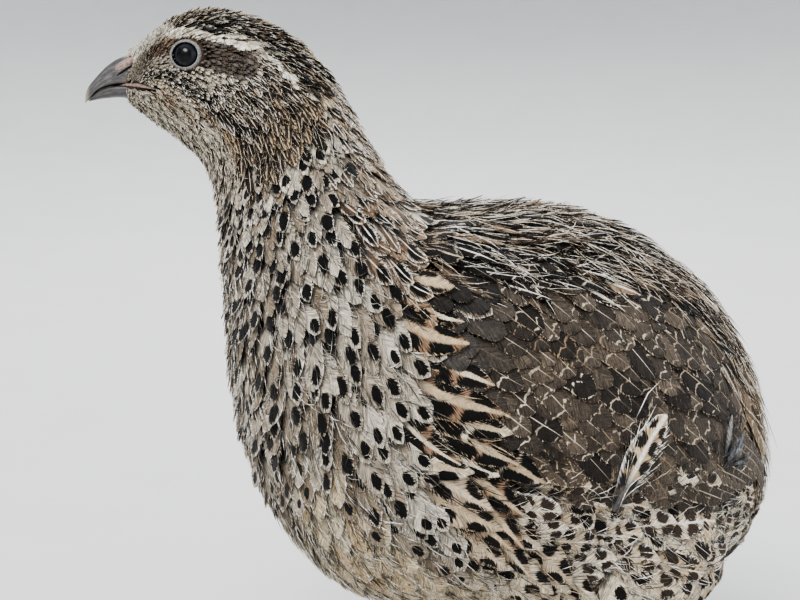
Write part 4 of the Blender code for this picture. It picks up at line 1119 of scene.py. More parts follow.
def flank_zone(station, degrees):
    """1 where the flank's plumes have their roots, and 0 elsewhere."""
    front = np.interp(degrees, [62, 80, 100, 120, 132], [13.3, 13.2, 12.2, 10.6, 9.4])
    rear = np.interp(degrees, [62, 80, 100, 120, 132], [12.2, 11.4, 9.6, 8.4, 8.2])
    inside = (station < front) & (station > rear) & (degrees > FLANK_TOP) & (degrees < FLANK_FOOT)
    return inside.astype(float)


# The tail's rows: pairs, first root (station, degrees) and the next pair's step, length and its
# step, width, and height at the root and the tip.
TAIL_ROWS = [
    (8, (4.0, 3.0), (-0.10, 9.0), (36.0, -1.8), 8.0, (2.2, 3.6)),
    (8, (4.6, 2.0), (-0.14, 9.0), (25.0, -1.4), 7.0, (2.0, 4.4)),
    (8, (5.3, 3.0), (-0.16, 8.0), (18.0, -1.0), 6.4, (1.5, 4.2)),
]


def tail_plumes(rng):
    """The tail's feathers in pairs, over each other from the middle out."""
    groups = []
    for pairs, (station, degrees), (back, out), (length, shorter), width, (root, tip) in TAIL_ROWS:
        k = np.repeat(np.arange(pairs), 2)
        side = np.tile([LEFT, RIGHT], pairs)
        p = Plumes(station + back * k, side * np.radians(degrees + out * k), rng)
        p.length, p.width = length + shorter * k, width
        p.low, p.high = root - 0.18 * k, tip - 0.26 * k + 0.08 * side
        p.follow, p.roll, p.camber = 0.0, -0.3, 0.35
        p.heading = np.radians(1.5 + 1.0 * k) + np.radians(rng.normal(0, 2.2, p.count))
        p.ground = blend(BROWN, SAND, p.chance[:, 2])
        p.pale = blend(CREAM, WHITE, p.chance[:, 3])
        shaft, fringe = 0.06 + 0.14 * p.chance[:, 0], 0.06 + 0.12 * p.chance[:, 1]
        p.line = triple(shaft, fringe, 0.7 + 0.3 * p.chance[:, 3])
        groups.append(p)
    return join_plumes(groups)


# Spans of stations from the rump to the bill, and how many roots are tried in each.
COAT_ZONES = [((0.7, 14.2), 60000), ((14.2, 19.6), 40000), ((19.6, 24.2), 30000), ((24.2, 27.9), 30000)]


def body_coat(bare, rng):
    """The feathers of body, neck and head. None grow under the wings, flank plumes and
    scapulars, on the lids or at the bare places."""
    around = (-math.pi, math.pi)
    found = [poisson(rng, coat_spacing, tries, span, around) for span, tries in COAT_ZONES]
    station, angle = (np.concatenate(part) for part in zip(*found))
    degrees = np.degrees(np.abs(angle))
    eye = eye_distance(station, angle)
    hidden = (wing_rise(station, angle) > 1.6) & (station > 5.5)
    over = body_surface(station - 0.25, angle, 0 * station)[0]
    hidden |= np.array([((bare[:, :3] - place) ** 2).sum(1).min() < BARE_REACH**2 for place in over])
    hidden |= (flank_zone(station + 0.8, degrees) > 0.5) | (eye < EYE_CLEAR)
    hidden |= (degrees < 50) & (station < 12.0) & (station > 5.2) & (degrees > 9)
    plumes = dress_body(Plumes(station[~hidden], angle[~hidden], rng))
    part_round_eye(plumes)
    thin_spots(plumes, rng)
    return plumes


def vent_tuft(rng):
    """Soft feathers that close the body's rear end under the tail, and the rows they lie on."""
    lower, upper = np.array([86.6, 0.0, 33.4]), np.array([93.4, 0.0, 45.0])
    rise = unit(upper - lower)
    out, right = np.array([rise[2], 0.0, -rise[0]]), np.array([0.0, 1.0, 0.0])
    rows, columns = [-4.5, -1.8, 1.0, 3.8, 6.4, 8.6], np.linspace(-5.5, 5.5, 7)
    start, aside = (grid.ravel() for grid in np.meshgrid(rows, columns))
    p = Plumes(np.full(len(start), 0.3), math.pi + 0.12 * aside, rng)
    start, aside = start + rng.normal(0, 0.5, p.count), aside + rng.normal(0, 0.5, p.count)
    p.length, p.width = 7.0 + 2.5 * p.chance[:, 0], 3.6 + 0.8 * p.chance[:, 1]
    p.camber = 0.2
    p.ground = blend(WHITE, BUFF, p.chance[:, 2])
    p.mark, p.spot = blend(UMBER, BROWN, p.chance[:, 3]), np.outer(p.chance[:, 3] > 0.6, [0.9, 2.4, 1.2])
    p.line = np.tile([0.05, 0.2, 0.0], (p.count, 1))
    vane = VANES[VENT_VANE]
    row = vane.rows[None, :, None]
    turn = np.radians(-3.0 * aside + rng.normal(0, 9, p.count))[:, None, None]
    course = rise * np.cos(turn) + right * np.sin(turn)
    place = lower + rise * start[:, None, None] + right * aside[:, None, None]
    height = -1.4 + (2.4 + p.chance[:, :1, None]) * row**0.8 - 0.05 * aside[:, None, None] ** 2
    centre = place + course * p.length[:, None, None] * row + out * height
    half = (p.width[:, None] / 2 * vane.spread)[..., None]
    across = np.cross(out + 0 * course, course) * half
    return p, [centre, across, -0.12 * half * out, np.broadcast_to(out, centre.shape)]


def thin_spots(plumes, rng):
    """Leaves large spots only where they stand clear of each other, on slightly higher feathers."""
    large = np.flatnonzero(plumes.spot[:, 0] > LEAST_SPOT)
    clear = SPOT_CLEAR * plumes.spot[large, 0] + 0.2
    kept = large[apart(spot_places(plumes.take(large)), clear, rng)]
    plumes.spot[np.setdiff1d(large, kept), 0] = 0.0
    plumes.high[kept] += 0.14 * coat_depth(plumes.station[kept])


def spot_places(plumes):
    """Where each feather's first spot lies."""
    share = np.clip(1.0 - plumes.spot[:, 1] / plumes.length, 0.0, 1.0)
    return flat_point(*reached(plumes, share))


def wisps(coat, count, rng, spots, stray):
    """Loose barbs that stray from the feathers' tips and break their even surface."""
    weight = coat.length * coat.width
    parent = rng.choice(coat.count, count, p=weight / weight.sum())
    source = coat.take(parent)
    place = rng.random(count) * 0.75
    outer = np.where(source.angle < 0, -1.0, 1.0)
    station, angle = stride(source.station, source.angle, source.heading, source.length * place, outer)
    p = Plumes(station, angle + rng.normal(0, 0.02, count), rng)
    p.heading = source.heading + np.radians(rng.normal(0, 16, count))
    p.bend = np.radians(rng.normal(0, 22, count))
    p.length = source.length * (0.24 + 0.26 * p.chance[:, 0])
    p.width = 0.08 + 0.010 * source.length * (0.4 + p.chance[:, 1])
    p.low = source.high - 0.35
    p.high = source.high + 0.1 + (0.25 + 0.05 * source.length) * stray * p.chance[:, 2] ** 2
    p.camber = 0.05
    tone = p.chance[:, 3]
    p.ground = blend(source.ground, source.pale, 1.0 * (tone > 0.55))
    # Painted shade: some loose barbs take the feather's ground at a quarter of its brightness, as dark hairs
    # between barbs.
    dark = (tone < 0.38)[:, None]
    p.ground = np.where(dark, source.ground * 0.25, p.ground)
    if spots is not None:
        middle = flat_point(*reached(p, 0.6))
        away = np.array([((spots - place) ** 2).sum(1).min() for place in middle])
        p = p.take(away > 1.5**2)
    return p


def on_head(point, side):
    """A point of the left or right side of the face, after the head's turn."""
    place = np.array([point[0], point[1] * side, point[2]], float)
    return turned(place, np.array(FACE_STATION))


def eye_distance(station, angle):
    """How far each place over the head is from the nearer lid's opening."""
    points = body_surface(station, angle, np.zeros(len(station)))[0]
    eyes = (on_head(EYE_CENTRE, side) + eye_axis(side) * LID_OUT for side in (LEFT, RIGHT))
    return np.minimum(*(np.linalg.norm(points - eye, axis=1) for eye in eyes))


def eye_axis(side):
    return unit(on_head(EYE_AXIS, side) - on_head((0, 0, 0), side))


def part_round_eye(plumes):
    """Shortens the feathers beside the eye and stands them up against the lid."""
    near = 1.0 - smooth(eye_distance(plumes.station, plumes.angle), 3.4, 5.6)
    plumes.length *= 1.0 - 0.5 * near
    plumes.width *= 1.0 - 0.35 * near
    plumes.high += 0.35 * near


def grid_faces(rows, columns):
    """The triangles between closed rings of equal count."""
    r, c = np.meshgrid(np.arange(rows - 1), np.arange(columns), indexing="ij")
    a = r * columns + c
    b = r * columns + (c + 1) % columns
    quads = np.stack([a, b, b + columns, a + columns], -1).reshape(-1, 4)
    return np.concatenate([quads[:, [0, 1, 2]], quads[:, [0, 2, 3]]])


def closed_rings(rings):
    """Points and triangles of a skin over rings of equal count, with a fan at each end."""
    rows, columns = rings.shape[:2]
    points = np.concatenate([rings.reshape(-1, 3), rings[:1].mean(1), rings[-1:].mean(1)])
    faces = grid_faces(rows, columns)
    k = np.arange(columns)
    nearer, further = rows * columns, rows * columns + 1
    start = np.stack([(k + 1) % columns, k, np.full(columns, nearer)], 1)
    last = (rows - 1) * columns
    end = np.stack([last + k, last + (k + 1) % columns, np.full(columns, further)], 1)
    return points, np.concatenate([faces, start, end])


def outward(points, faces):
    """The faces with their normals pointing out of the closed skin."""
    a, b, c = (points[faces[:, k]] for k in range(3))
    volume = np.einsum("ij,ij->i", a, np.cross(b, c)).sum()
    return faces if volume > 0 else faces[:, ::-1]


def make_skin(rng, thighs):
    """The skin under the coat, from the rump to the bill, with the wings' swell and both thighs."""
    station = np.linspace(REAR_CLOSING[0][0], LAST, SKIN_ROWS)[:, None] * np.ones((1, SKIN_COLUMNS))
    angle = np.ones((SKIN_ROWS, 1)) * np.linspace(-math.pi, math.pi, SKIN_COLUMNS, endpoint=False)[None]
    rise = wing_rise(station, angle) * 0.8 + Swell.at(station, angle) - coat_depth(station) - 0.05
    rings = body_surface(station, angle, rise)[0]
    closing = np.interp(station[:, 0], *zip(*REAR_CLOSING))
    middle = rings.mean(1, keepdims=True)
    rings = middle + (rings - middle) * closing[:, None, None]
    points, faces = closed_rings(rings)
    faces = outward(points, faces)
    ends = [0, -1]
    flat_station = np.concatenate([station.ravel(), station[ends, 0]])
    flat_angle = np.concatenate([angle.ravel(), [0.0, 0.0]])
    looks = dress_body(Plumes(flat_station, flat_angle, rng))
    place = np.stack([flat_angle / (2 * math.pi) % 1.0, flat_station], 1)
    body_points = len(points)
    for thigh in thighs:
        shell, shell_faces = thigh_skin(thigh)
        faces = np.concatenate([faces, shell_faces + len(points)])
        points = np.concatenate([points, shell])
    skin = mesh_piece("skin", points, faces, skin_material())
    for key, colour in (("ground", BUFF), ("mark", UMBER)):
        rows = np.concatenate([getattr(looks, key), np.tile(colour, (len(points) - body_points, 1))])
        add_vectors(skin.data, key, rows, "FLOAT_COLOR")
    lowest = points[body_points:, [0, 2]]
    place = (place - place.min(0)) / (place.max(0) - place.min(0)) * [1.0, 0.8]
    leg = (lowest - lowest.min(0)) / (lowest.max(0) - lowest.min(0)) * [1.0, 0.18] + [0.0, 0.82]
    uv = np.concatenate([place, leg])
    layer = skin.data.uv_layers.new(name="OFBake")
    layer.data.foreach_set("uv", uv[faces.ravel()].astype(np.float32).ravel())
    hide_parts("torso", "neck", "head", "thigh_left", "thigh_right")
    return skin


def thigh_mesh(node):
    """The points, in working millimetres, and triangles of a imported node."""
    mesh = node.data
    points = np.zeros(len(mesh.vertices) * 3)
    mesh.vertices.foreach_get("co", points)
    points = points.reshape(-1, 3) / MM - ORIGIN_SHIFT
    mesh.calc_loop_triangles()
    faces = np.zeros(len(mesh.loop_triangles) * 3, np.int32)
    mesh.loop_triangles.foreach_get("vertices", faces)
    return welded(points, faces.reshape(-1, 3))


def welded(points, faces):
    """The same triangles with points at one place joined."""
    keys = np.round(points * 1000).astype(np.int64)
    _, first, inverse = np.unique(keys, axis=0, return_index=True, return_inverse=True)
    faces = inverse.ravel()[faces]
    keep = (faces[:, 0] != faces[:, 1]) & (faces[:, 1] != faces[:, 2]) & (faces[:, 0] != faces[:, 2])
    return points[first], faces[keep]


def thigh_skin(node):
    """The thigh drawn in by its coat's depth, its upper part sunk into the body."""
    points, faces = thigh_mesh(node)
    side = np.sign(points[:, 1].mean())
    level = np.clip(np.round(points[:, 2] / 2.0), 10, 40)
    middle = np.stack([np.interp(points[:, 2], *slice_middles(points, level, k)) for k in (0, 1)], 1)
    out = points[:, :2] - middle
    radius = np.maximum(np.linalg.norm(out, axis=1, keepdims=True), 0.1)
    drawn = points.copy()
    drawn[:, :2] = middle + out * np.clip(1.0 - THIGH_DEPTH / radius, 0.35, 1.0)
    drawn[:, 1] -= side * 9.0 * smooth(points[:, 2], THIGH_TOP - 6.0, THIGH_TOP + 4.0)
    return drawn, faces


def slice_middles(points, level, axis):
    """The heights of a mesh's slices, and each slice's middle along one axis."""
    heights = np.unique(level)
    middles = [(points[level == z, axis].min() + points[level == z, axis].max()) / 2 for z in heights]
    return heights * 2.0, middles


def skin_material():
    g = Graph("skin_under_feathers")
    ground, mark = g.attribute("ground", True), g.attribute("mark", True)
    fine = g.noise(g.place(), 1.1, 4.0, 0.7)
    blotch = g.noise(g.place(), 0.35, 2.0)
    # Painted shade: the skin seen between feathers takes the plumage's ground at a quarter of its brightness,
    # with blotches of the mark colour.
    colour = g.mix(g.ramp(blotch, 0.56, 0.66, 0.0, 0.7), g.scaled(ground, 0.25), mark)
    colour = g.scaled(colour, g.times_plus(fine, 0.7, 0.6))
    g.bump(fine, 0.6, 0.4)
    return g.finish(colour, 0.85, 0.2)


def tree_of(points, faces):
    return BVHTree.FromPolygons([Vector(p) for p in points], [tuple(f) for f in faces.tolist()])


def thigh_plumes(node, rng):
    """Soft feathers over the part of a thigh that hangs below the body's coat."""
    points, faces = thigh_mesh(node)
    tree = tree_of(points, faces)
    a, b, c = (points[faces[:, k]] for k in range(3))
    area = np.linalg.norm(np.cross(b - a, c - a), axis=1) / 2 * (((a + b + c) / 3)[:, 2] < THIGH_TOP)
    pick = rng.choice(len(faces), THIGH_TRIES, p=area / area.sum())
    one, two = rng.random((2, len(pick), 1))
    flip = one + two > 1
    one, two = np.where(flip, 1 - one, one), np.where(flip, 1 - two, two)
    spots = a[pick] + (b[pick] - a[pick]) * one + (c[pick] - a[pick]) * two
    roots = spots[apart(spots, np.interp(spots[:, 2], [20, 30, 44], [1.1, 1.6, 2.4]), rng)]
    p = Plumes(roots[:, 2] / 10, np.arctan2(roots[:, 1] - roots[:, 1].mean(), roots[:, 0] - 35), rng)
    p.length = np.interp(roots[:, 2], [20, 30, 44], [4.5, 8.0, 12.0]) * (0.85 + 0.3 * p.chance[:, 0])
    p.width = p.length * 0.5
    p.camber = p.width * 0.05 + 0.05
    p.ground = blend(CREAM, BUFF, p.chance[:, 2])
    p.mark = blend(BLACK, UMBER, p.chance[:, 1] * 0.6)
    spotted = smooth(roots[:, 2], 28, 40) * (p.chance[:, 3] > 0.5)
    p.spot = triple(1.5 * spotted, 2.2 + p.chance[:, 0], 0)
    p.line = np.tile([0.0, 0.2, 0.0], (p.count, 1))
    return p, laid_on_mesh(tree, roots, p, VANES[THIGH_VANE], rng)


def laid_on_mesh(tree, roots, p, vane, rng):
    """The rows of feathers that run down a mesh from their roots."""
    grids = [np.zeros((p.count, len(vane.rows), 3)) for _ in range(4)]
    for n, root in enumerate(roots):
        place, before = Vector(root), 0.0
        lean = Vector((0.35 + rng.normal(0, 0.12), rng.normal(0, 0.12), -1.0))
        for r, (row, spread) in enumerate(zip(vane.rows, vane.spread)):
            hit, normal = tree.find_nearest(place)[:2]
            course = (lean - normal * lean.dot(normal)).normalized()
            if row > before:
                hit, normal = tree.find_nearest(hit + course * p.length[n] * (row - before))[:2]
                course = (lean - normal * lean.dot(normal)).normalized()
            before, place = row, hit
            across = course.cross(normal) * (p.width[n] / 2 * spread)
            rise = -THIGH_DEPTH + (THIGH_DEPTH + 0.4 + 0.5 * p.chance[n, 0]) * row**0.8
            bow = normal * (-0.06 * spread * p.width[n])
            for grid, value in zip(grids, (hit + normal * rise, across, bow, normal)):
                grid[n, r] = value
    return grids


def eye_place(side, profile, around, oval=(1.0, 1.0)):
    """Rings about the eye's axis from a profile of (radius, height) in millimetres."""
    axis = Vector(eye_axis(side))
    turn = np.array(axis.to_track_quat("Z", "Y").to_matrix())
    centre = on_head(EYE_CENTRE, side)
    angle = np.linspace(0, 2 * math.pi, around, endpoint=False)
    profile = np.array(profile)
    x = profile[:, :1] * np.cos(angle)[None] * oval[0]
    y = profile[:, :1] * np.sin(angle)[None] * oval[1]
    z = profile[:, 1:2] * np.ones((1, around))
    return centre + np.stack([x, y, z], -1) @ turn.T


def make_eye(side):
    """The eyeball with its swollen cornea, the pupil and iris painted by the angle from its axis."""
    steps = 64
    turn = np.linspace(0.0, math.pi, steps)
    radius = EYE_RADIUS + CORNEA_RISE * np.exp(-((turn / 0.46) ** 4)) - 0.05
    profile = np.stack([radius * np.sin(turn), radius * np.cos(turn)], 1)[1:-1]
    points, faces = closed_rings(eye_place(side, profile, steps))
    eye = mesh_piece("eyeball_" + WORD[side], points, outward(points, faces), eye_material())
    at = np.concatenate([np.repeat(turn[1:-1], steps), [0.0, math.pi]])
    add_vectors(eye.data, "gaze", np.stack([at, at * 0, at * 0], 1))
    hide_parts("eye_" + WORD[side])


@cache
def eye_material():
    g = Graph("eye_gloss")
    at = g.split(g.attribute("gaze"))[0]
    grain = g.noise(g.place(), 2.4, 3.0, 0.6)
    iris = g.mix(g.ramp(at, 0.42, 0.64), srgb(27, 32, 40), srgb(11, 11, 13))
    iris = g.scaled(iris, g.times_plus(grain, 0.8, 0.5))
    colour = g.mix(g.ramp(at, 0.40, 0.35), iris, (0.002, 0.002, 0.003))
    return g.finish(colour, 0.35, 0.2, CoatWeight=0.6, CoatRoughness=0.04, CoatIOR=1.38)


LID_PROFILE = [
    (2.58, 3.46), (2.62, 3.64), (2.72, 3.78), (2.88, 3.86), (3.04, 3.83), (3.18, 3.72), (3.30, 3.52),
    (3.40, 3.26), (3.52, 2.96), (3.70, 2.60), (3.95, 2.15), (4.25, 1.60), (4.50, 1.00), (4.4, 0.5),
    (3.9, 0.8), (3.2, 1.7), (2.7, 2.5),
]
LID_OVAL = (1.06, 0.98)


def make_lid(side):
    """The bare ring of lid round the eye, with fine folds, that slopes under the face's feathers."""
    around = 144
    rings = eye_place(side, LID_PROFILE, around, LID_OVAL)
    axis, centre = eye_axis(side), on_head(EYE_CENTRE, side)
    angle = np.linspace(0, 2 * math.pi, around, endpoint=False)
    beads = 0.05 * np.sin(angle * 31 + 1.5 * np.sin(angle * 5)) + 0.035 * np.sin(angle * 52)
    strength = np.array([0, 0.3, 0.7, 1, 1, 0.9, 0.8, 0.6, 0.4, 0.2] + [0] * (len(LID_PROFILE) - 10))
    rings = rings + axis * (strength[:, None] * beads[None])[..., None]
    points = rings.reshape(-1, 3)
    count = len(LID_PROFILE)
    faces = grid_faces(count, around)
    k = np.arange(around)
    last = (count - 1) * around
    close = np.stack([last + k, last + (k + 1) % around, (k + 1) % around, k], 1)
    faces = np.concatenate([faces, close[:, [0, 1, 2]], close[:, [0, 2, 3]]])
    faces = outward(points - centre, faces)
    lid = mesh_piece("eyelid_" + WORD[side], points, faces, lid_material())
    out = np.repeat(np.array(LID_PROFILE)[:, 0], around)
    add_vectors(lid.data, "gaze", np.stack([out, out * 0, out * 0], 1))


@cache
def lid_material():
    g = Graph("bare_lid")
    out = g.split(g.attribute("gaze"))[0]
    grain = g.noise(g.place(), 3.2, 3.0, 0.6)
    colour = g.mix(g.ramp(grain, 0.35, 0.65), srgb(100, 101, 103), srgb(144, 143, 141))
    colour = g.mix(g.ramp(out, 2.78, 2.62), colour, srgb(30, 29, 31))
    colour = g.mix(g.ramp(out, 3.28, 3.48), colour, srgb(92, 76, 62))
    g.bump(grain, 0.5, 0.15)
    return g.finish(colour, 0.5, 0.4)


# The bill along x: culmen height, mouth height and half width, from the gape to the tip.
UPPER_BILL = [
    (-53.8, 147.4, 145.0, 4.6),
    (-56.4, 150.0, 145.9, 4.75),
    (-58.3, 151.8, 146.1, 4.5),
    (-61.0, 152.6, 146.3, 4.0),
    (-62.9, 152.1, 146.3, 3.6),
    (-64.3, 151.3, 146.15, 3.15),
    (-65.8, 150.2, 145.8, 2.7),
    (-67.5, 148.5, 145.1, 2.1),
    (-68.9, 147.0, 143.9, 1.45),
    (-69.8, 145.8, 143.0, 0.9),
    (-70.35, 144.5, 142.6, 0.45),
    (-70.6, 142.7, 142.3, 0.05),
]
LOWER_BILL = [
    (-53.9, 144.8, 143.6, 4.2),
    (-56.4, 145.5, 142.9, 4.4),
    (-58.6, 145.75, 142.9, 4.1),
    (-61.0, 145.95, 143.4, 3.6),
    (-63.3, 145.95, 143.6, 3.1),
    (-65.8, 145.4, 143.4, 2.4),
    (-67.5, 144.65, 143.2, 1.7),
    (-68.8, 143.6, 142.95, 0.9),
    (-69.7, 142.95, 142.75, 0.05),
]
BILL_SIDE_FULLNESS, CULMEN_FULLNESS, MOUTH_FULLNESS, CHIN_FULLNESS = 2.6, 1.75, 5.0, 2.2
MOUTH_CLOSED = 0.3
BILL_ROWS, BILL_COLUMNS = 96, 72
NOSTRIL_FLAP = ((-61.6, 2.95, 150.3), (3.3, 1.0, 1.1))
NOSTRIL_SLIT = ((-61.2, 3.75, 149.35), (2.5, 0.42, 0.3))
NOSTRIL_SLOPE, NOSTRIL_TAPER = math.radians(32.0), math.radians(13.0)


def make_mandible(name, rows, lower):
    """A half of the bill in close rings: its edges keep the coarse rows' shape."""
    table = np.array(rows)
    place = np.linspace(0, len(rows) - 1, BILL_ROWS)
    x, top, bottom, half = (run_through(table, place)[:, k, None] for k in range(4))
    half = np.maximum(half, 0.05)
    if lower:
        top = top + MOUTH_CLOSED * np.minimum(1.0, half)
    angle = np.linspace(0, 2 * math.pi, BILL_COLUMNS, endpoint=False)[None]
    out, up = np.sin(angle), np.cos(angle)
    above, below = (MOUTH_FULLNESS, CHIN_FULLNESS) if lower else (CULMEN_FULLNESS, MOUTH_FULLNESS)
    rise = np.where(up > 0, rounded_power(up, above), rounded_power(up, below))
    y = half * rounded_power(out, BILL_SIDE_FULLNESS)
    z = (top + bottom) / 2 + (top - bottom) / 2 * rise
    flat = np.stack([x + 0 * angle, y, z], -1)
    rings = turned(flat, np.full(flat.shape[:2], FACE_STATION))
    points, faces = closed_rings(rings)
    bill = mesh_piece(name + "_horn", points, outward(points, faces), bill_material())
    share = (z - bottom) / np.maximum(top - bottom, 0.2)
    horn = np.stack([flat[..., 0], share, np.full(share.shape, float(lower))], -1).reshape(-1, 3)
    add_vectors(bill.data, "horn", np.concatenate([horn, horn[[0, -1]]]))
    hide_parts(name)


@cache
def bill_material():
    g = Graph("bill_horn_layers")
    x, share, lower = g.split(g.attribute("horn"))
    fine = g.noise(g.place(), 1.4, 4.0, 0.6)
    streak = g.noise(g.join(g.times(x, 0.5), g.times(share, 9.0), 0.0), 1.0, 3.0)
    base = g.mix(fine, srgb(62, 60, 62), srgb(100, 97, 98))
    base = g.mix(g.ramp(streak, 0.45, 0.7, 0.0, 0.6), base, srgb(132, 128, 128))
    ridge = g.ramp(share, 0.72, 0.98, 0.0, 0.7)
    base = g.mix(g.times(ridge, g.minus(1.0, lower)), base, srgb(58, 54, 57))
    base = g.mix(g.times(lower, 0.45), base, srgb(66, 62, 64))
    tomium = g.times(g.ramp(share, 0.24, 0.02), g.minus(1.0, lower))
    base = g.mix(g.times(tomium, 0.6), base, srgb(150, 142, 136))
    # Painted shade in the mouth's slit: the upper mandible's lower edge and the lower mandible's top edge
    # darken.
    seam = g.times(g.ramp(share, 0.07, 0.03), g.minus(1.0, lower))
    seam = g.math("MAXIMUM", seam, g.times(g.ramp(share, 0.86, 0.92), lower))
    base = g.mix(g.times(seam, 0.85), base, srgb(34, 30, 30))
    base = g.mix(g.ramp(x, -69.0, -70.6, 0.0, 0.65), base, srgb(178, 168, 150))
    base = g.mix(g.ramp(x, -60.5, -57.0, 0.0, 0.55), base, srgb(168, 138, 130))
    g.bump(g.plus(fine, g.times(streak, 0.6)), 0.35, 0.12)
    return g.finish(base, 0.42, 0.5, CoatWeight=0.12, CoatRoughness=0.25)


def beside_culmen(place, radii, side, rows=22, around=36):
    """A drop-shaped swelling beside the culmen that slopes with it."""
    turn = np.linspace(0, math.pi, rows)[1:-1, None]
    angle = np.linspace(0, 2 * math.pi, around, endpoint=False)[None]
    x = np.cos(turn) * radii[0] + 0 * angle
    y = np.sin(turn) * np.cos(angle) * radii[1]
    z = np.sin(turn) * np.sin(angle) * radii[2]
    ball = np.stack([x, y, z], -1)
    slope = Matrix.Rotation(-HEAD_TURN, 3, "Z") @ Matrix.Rotation(NOSTRIL_TAPER * side, 3, "Z")
    slope = np.array(slope @ Matrix.Rotation(-NOSTRIL_SLOPE, 3, "Y"))
    return ball @ slope.T + on_head(place, side)


def make_nostrils():
    g = Graph("nostril_shadow")
    grain = g.noise(g.place(), 3.0)
    dark = g.finish(g.scaled(srgb(44, 34, 34), g.times_plus(grain, 0.8, 0.6)), 0.8, 0.2)
    for side, word in WORD.items():
        for kind, shape, material in (("flap", NOSTRIL_FLAP, flap_material()), ("slit", NOSTRIL_SLIT, dark)):
            points, faces = closed_rings(beside_culmen(*shape, side))
            faces = outward(points - points.mean(0), faces)
            mesh_piece(f"nostril_{kind}_{word}", points, faces, material)


# The mouth's fleshy edge as x, z, its radii from front to back, its counts of rings and of
# points round each, how far out from the head's middle it is looked for, and how much of the
# nostril's flap stays bare.
GAPE_LINE = [
    (-62.6, 146.15), (-60.6, 146.3), (-58.3, 146.15), (-56.4, 145.9), (-54.2, 145.4), (-53.4, 144.9)
]
GAPE_RADII = [0.08, 0.28, 0.42, 0.42, 0.3, 0.05]
GAPE_RINGS, GAPE_AROUND = 40, 20
GAPE_REACH = 14.0
FLAP_SHARE = 0.72


def make_gapes():
    """The fleshy edge of the mouth, a rounded strip from the bill back over the cheek. Returns
    the places that feathers leave bare."""
    skin = bpy.data.objects["skin"].data
    carriers = [skin, bpy.data.objects["bill_upper_horn"].data]
    trees = [
        BVHTree.FromPolygons([v.co for v in mesh.vertices], [f.vertices for f in mesh.polygons])
        for mesh in carriers
    ]
    bare = []
    for side, word in WORD.items():
        line = run_through(np.array(GAPE_LINE), np.linspace(0, len(GAPE_LINE) - 1, GAPE_RINGS))
        share = np.linspace(0, 1, GAPE_RINGS)
        radius = np.interp(share, np.linspace(0, 1, len(GAPE_RADII)), GAPE_RADII)
        centre = []
        for x, z in line:
            start, aim = on_head((x, GAPE_REACH, z), side), on_head((x, 0.0, z), side)
            course = Vector(aim - start).normalized()
            hits = []
            for tree in trees:
                for above in (0.0, 0.35):
                    place = Vector((start + ORIGIN_SHIFT + [0, 0, above]) * MM)
                    hits.append(tree.ray_cast(place, course, GAPE_REACH * MM)[3] or GAPE_REACH * MM)
            centre.append(start + np.array(course) * min(hits) / MM)
        centre = np.array(centre)
        for _ in range(4):
            centre[1:-1] = (centre[:-2] + centre[2:]) / 4 + centre[1:-1] / 2
        along = unit(np.gradient(centre, axis=0))
        out = unit(on_head((0, 1, 0), side) - on_head((0, 0, 0), side))
        up = unit(np.cross(along, out))
        out = np.cross(up, along)
        turn = np.linspace(0, 2 * math.pi, GAPE_AROUND, endpoint=False)[None, :, None]
        folds = 1.0 + 0.08 * np.sin(np.arange(GAPE_RINGS) * 1.9)[:, None, None]
        ring = np.cos(turn) * out[:, None] * 0.75 + np.sin(turn) * up[:, None]
        points, faces = closed_rings(centre[:, None] + ring * radius[:, None, None] * folds)
        faces = outward(points - points.mean(0), faces)
        mesh_piece("gape_" + word, points, faces, flap_material())
        bare.append(centre[6:34:3])
        flap = beside_culmen(NOSTRIL_FLAP[0], np.array(NOSTRIL_FLAP[1]) * FLAP_SHARE, side, 9, 6)
        bare.append(flap.reshape(-1, 3))
    return np.concatenate(bare)


@cache
def flap_material():
    g = Graph("nostril_flap_skin")
    fine = g.noise(g.place(), 2.2, 4.0, 0.65)
    colour = g.mix(g.ramp(fine, 0.35, 0.7), srgb(130, 111, 104), srgb(174, 153, 143))
    g.bump(fine, 0.6, 0.2)
    return g.finish(colour, 0.6, 0.35)


def leg_material():
    g = Graph("leg_scaled_skin")
    place = g.place()
    fine = g.noise(place, 1.6, 4.0, 0.6)
    broad = g.noise(place, 0.25, 2.0)
    colour = g.mix(g.ramp(broad, 0.35, 0.65), srgb(196, 158, 128), srgb(212, 176, 142))
    colour = g.mix(g.ramp(fine, 0.5, 0.75, 0.0, 0.5), colour, srgb(150, 116, 96))
    cells = g.node("TexVoronoi", {"Vector": place, "Scale": 1.15}, "Distance", feature="DISTANCE_TO_EDGE")
    seam = g.ramp(cells, 0.0, 0.14)
    colour = g.scaled(colour, g.times_plus(seam, 0.42, 0.58))
    g.bump(g.times_plus(fine, 0.3, seam), 0.7, 0.25)
    return g.finish(colour, 0.5, 0.4)


def claw_material():
    g = Graph("claw_horn")
    fine = g.noise(g.place(), 1.8, 4.0, 0.6)
    colour = g.mix(g.ramp(fine, 0.3, 0.7), srgb(112, 92, 78), srgb(72, 58, 52))
    g.bump(fine, 0.3, 0.12)
    return g.finish(colour, 0.4, 0.5)


def finish_legs(nodes):
    skin, horn = leg_material(), claw_material()
    for name, node in nodes.items():
        if name.startswith(("shank", "foot", "claw")):
            for place in node.material_slots:
                place.material = horn if name.startswith("claw") else skin


COAT_PARTS = [
    # name, first and last station, vane and slot
    ("rump", 0.0, 5.6, "fine", "breast_feathers"),
    ("belly", 5.6, 11.0, "fine", "breast_feathers"),
    ("breast", 11.0, 14.6, "fine", "breast_feathers"),
    ("neck", 14.6, 19.6, "medium", "neck_feathers"),
    ("head", 19.6, 24.2, "small", "head_feathers"),
    ("face", 24.2, 30.0, "tiny", "head_feathers"),
]
WISPS_EACH = {"fine": 7.0, "medium": 5.0, "small": 2.5, "tiny": 1.2}


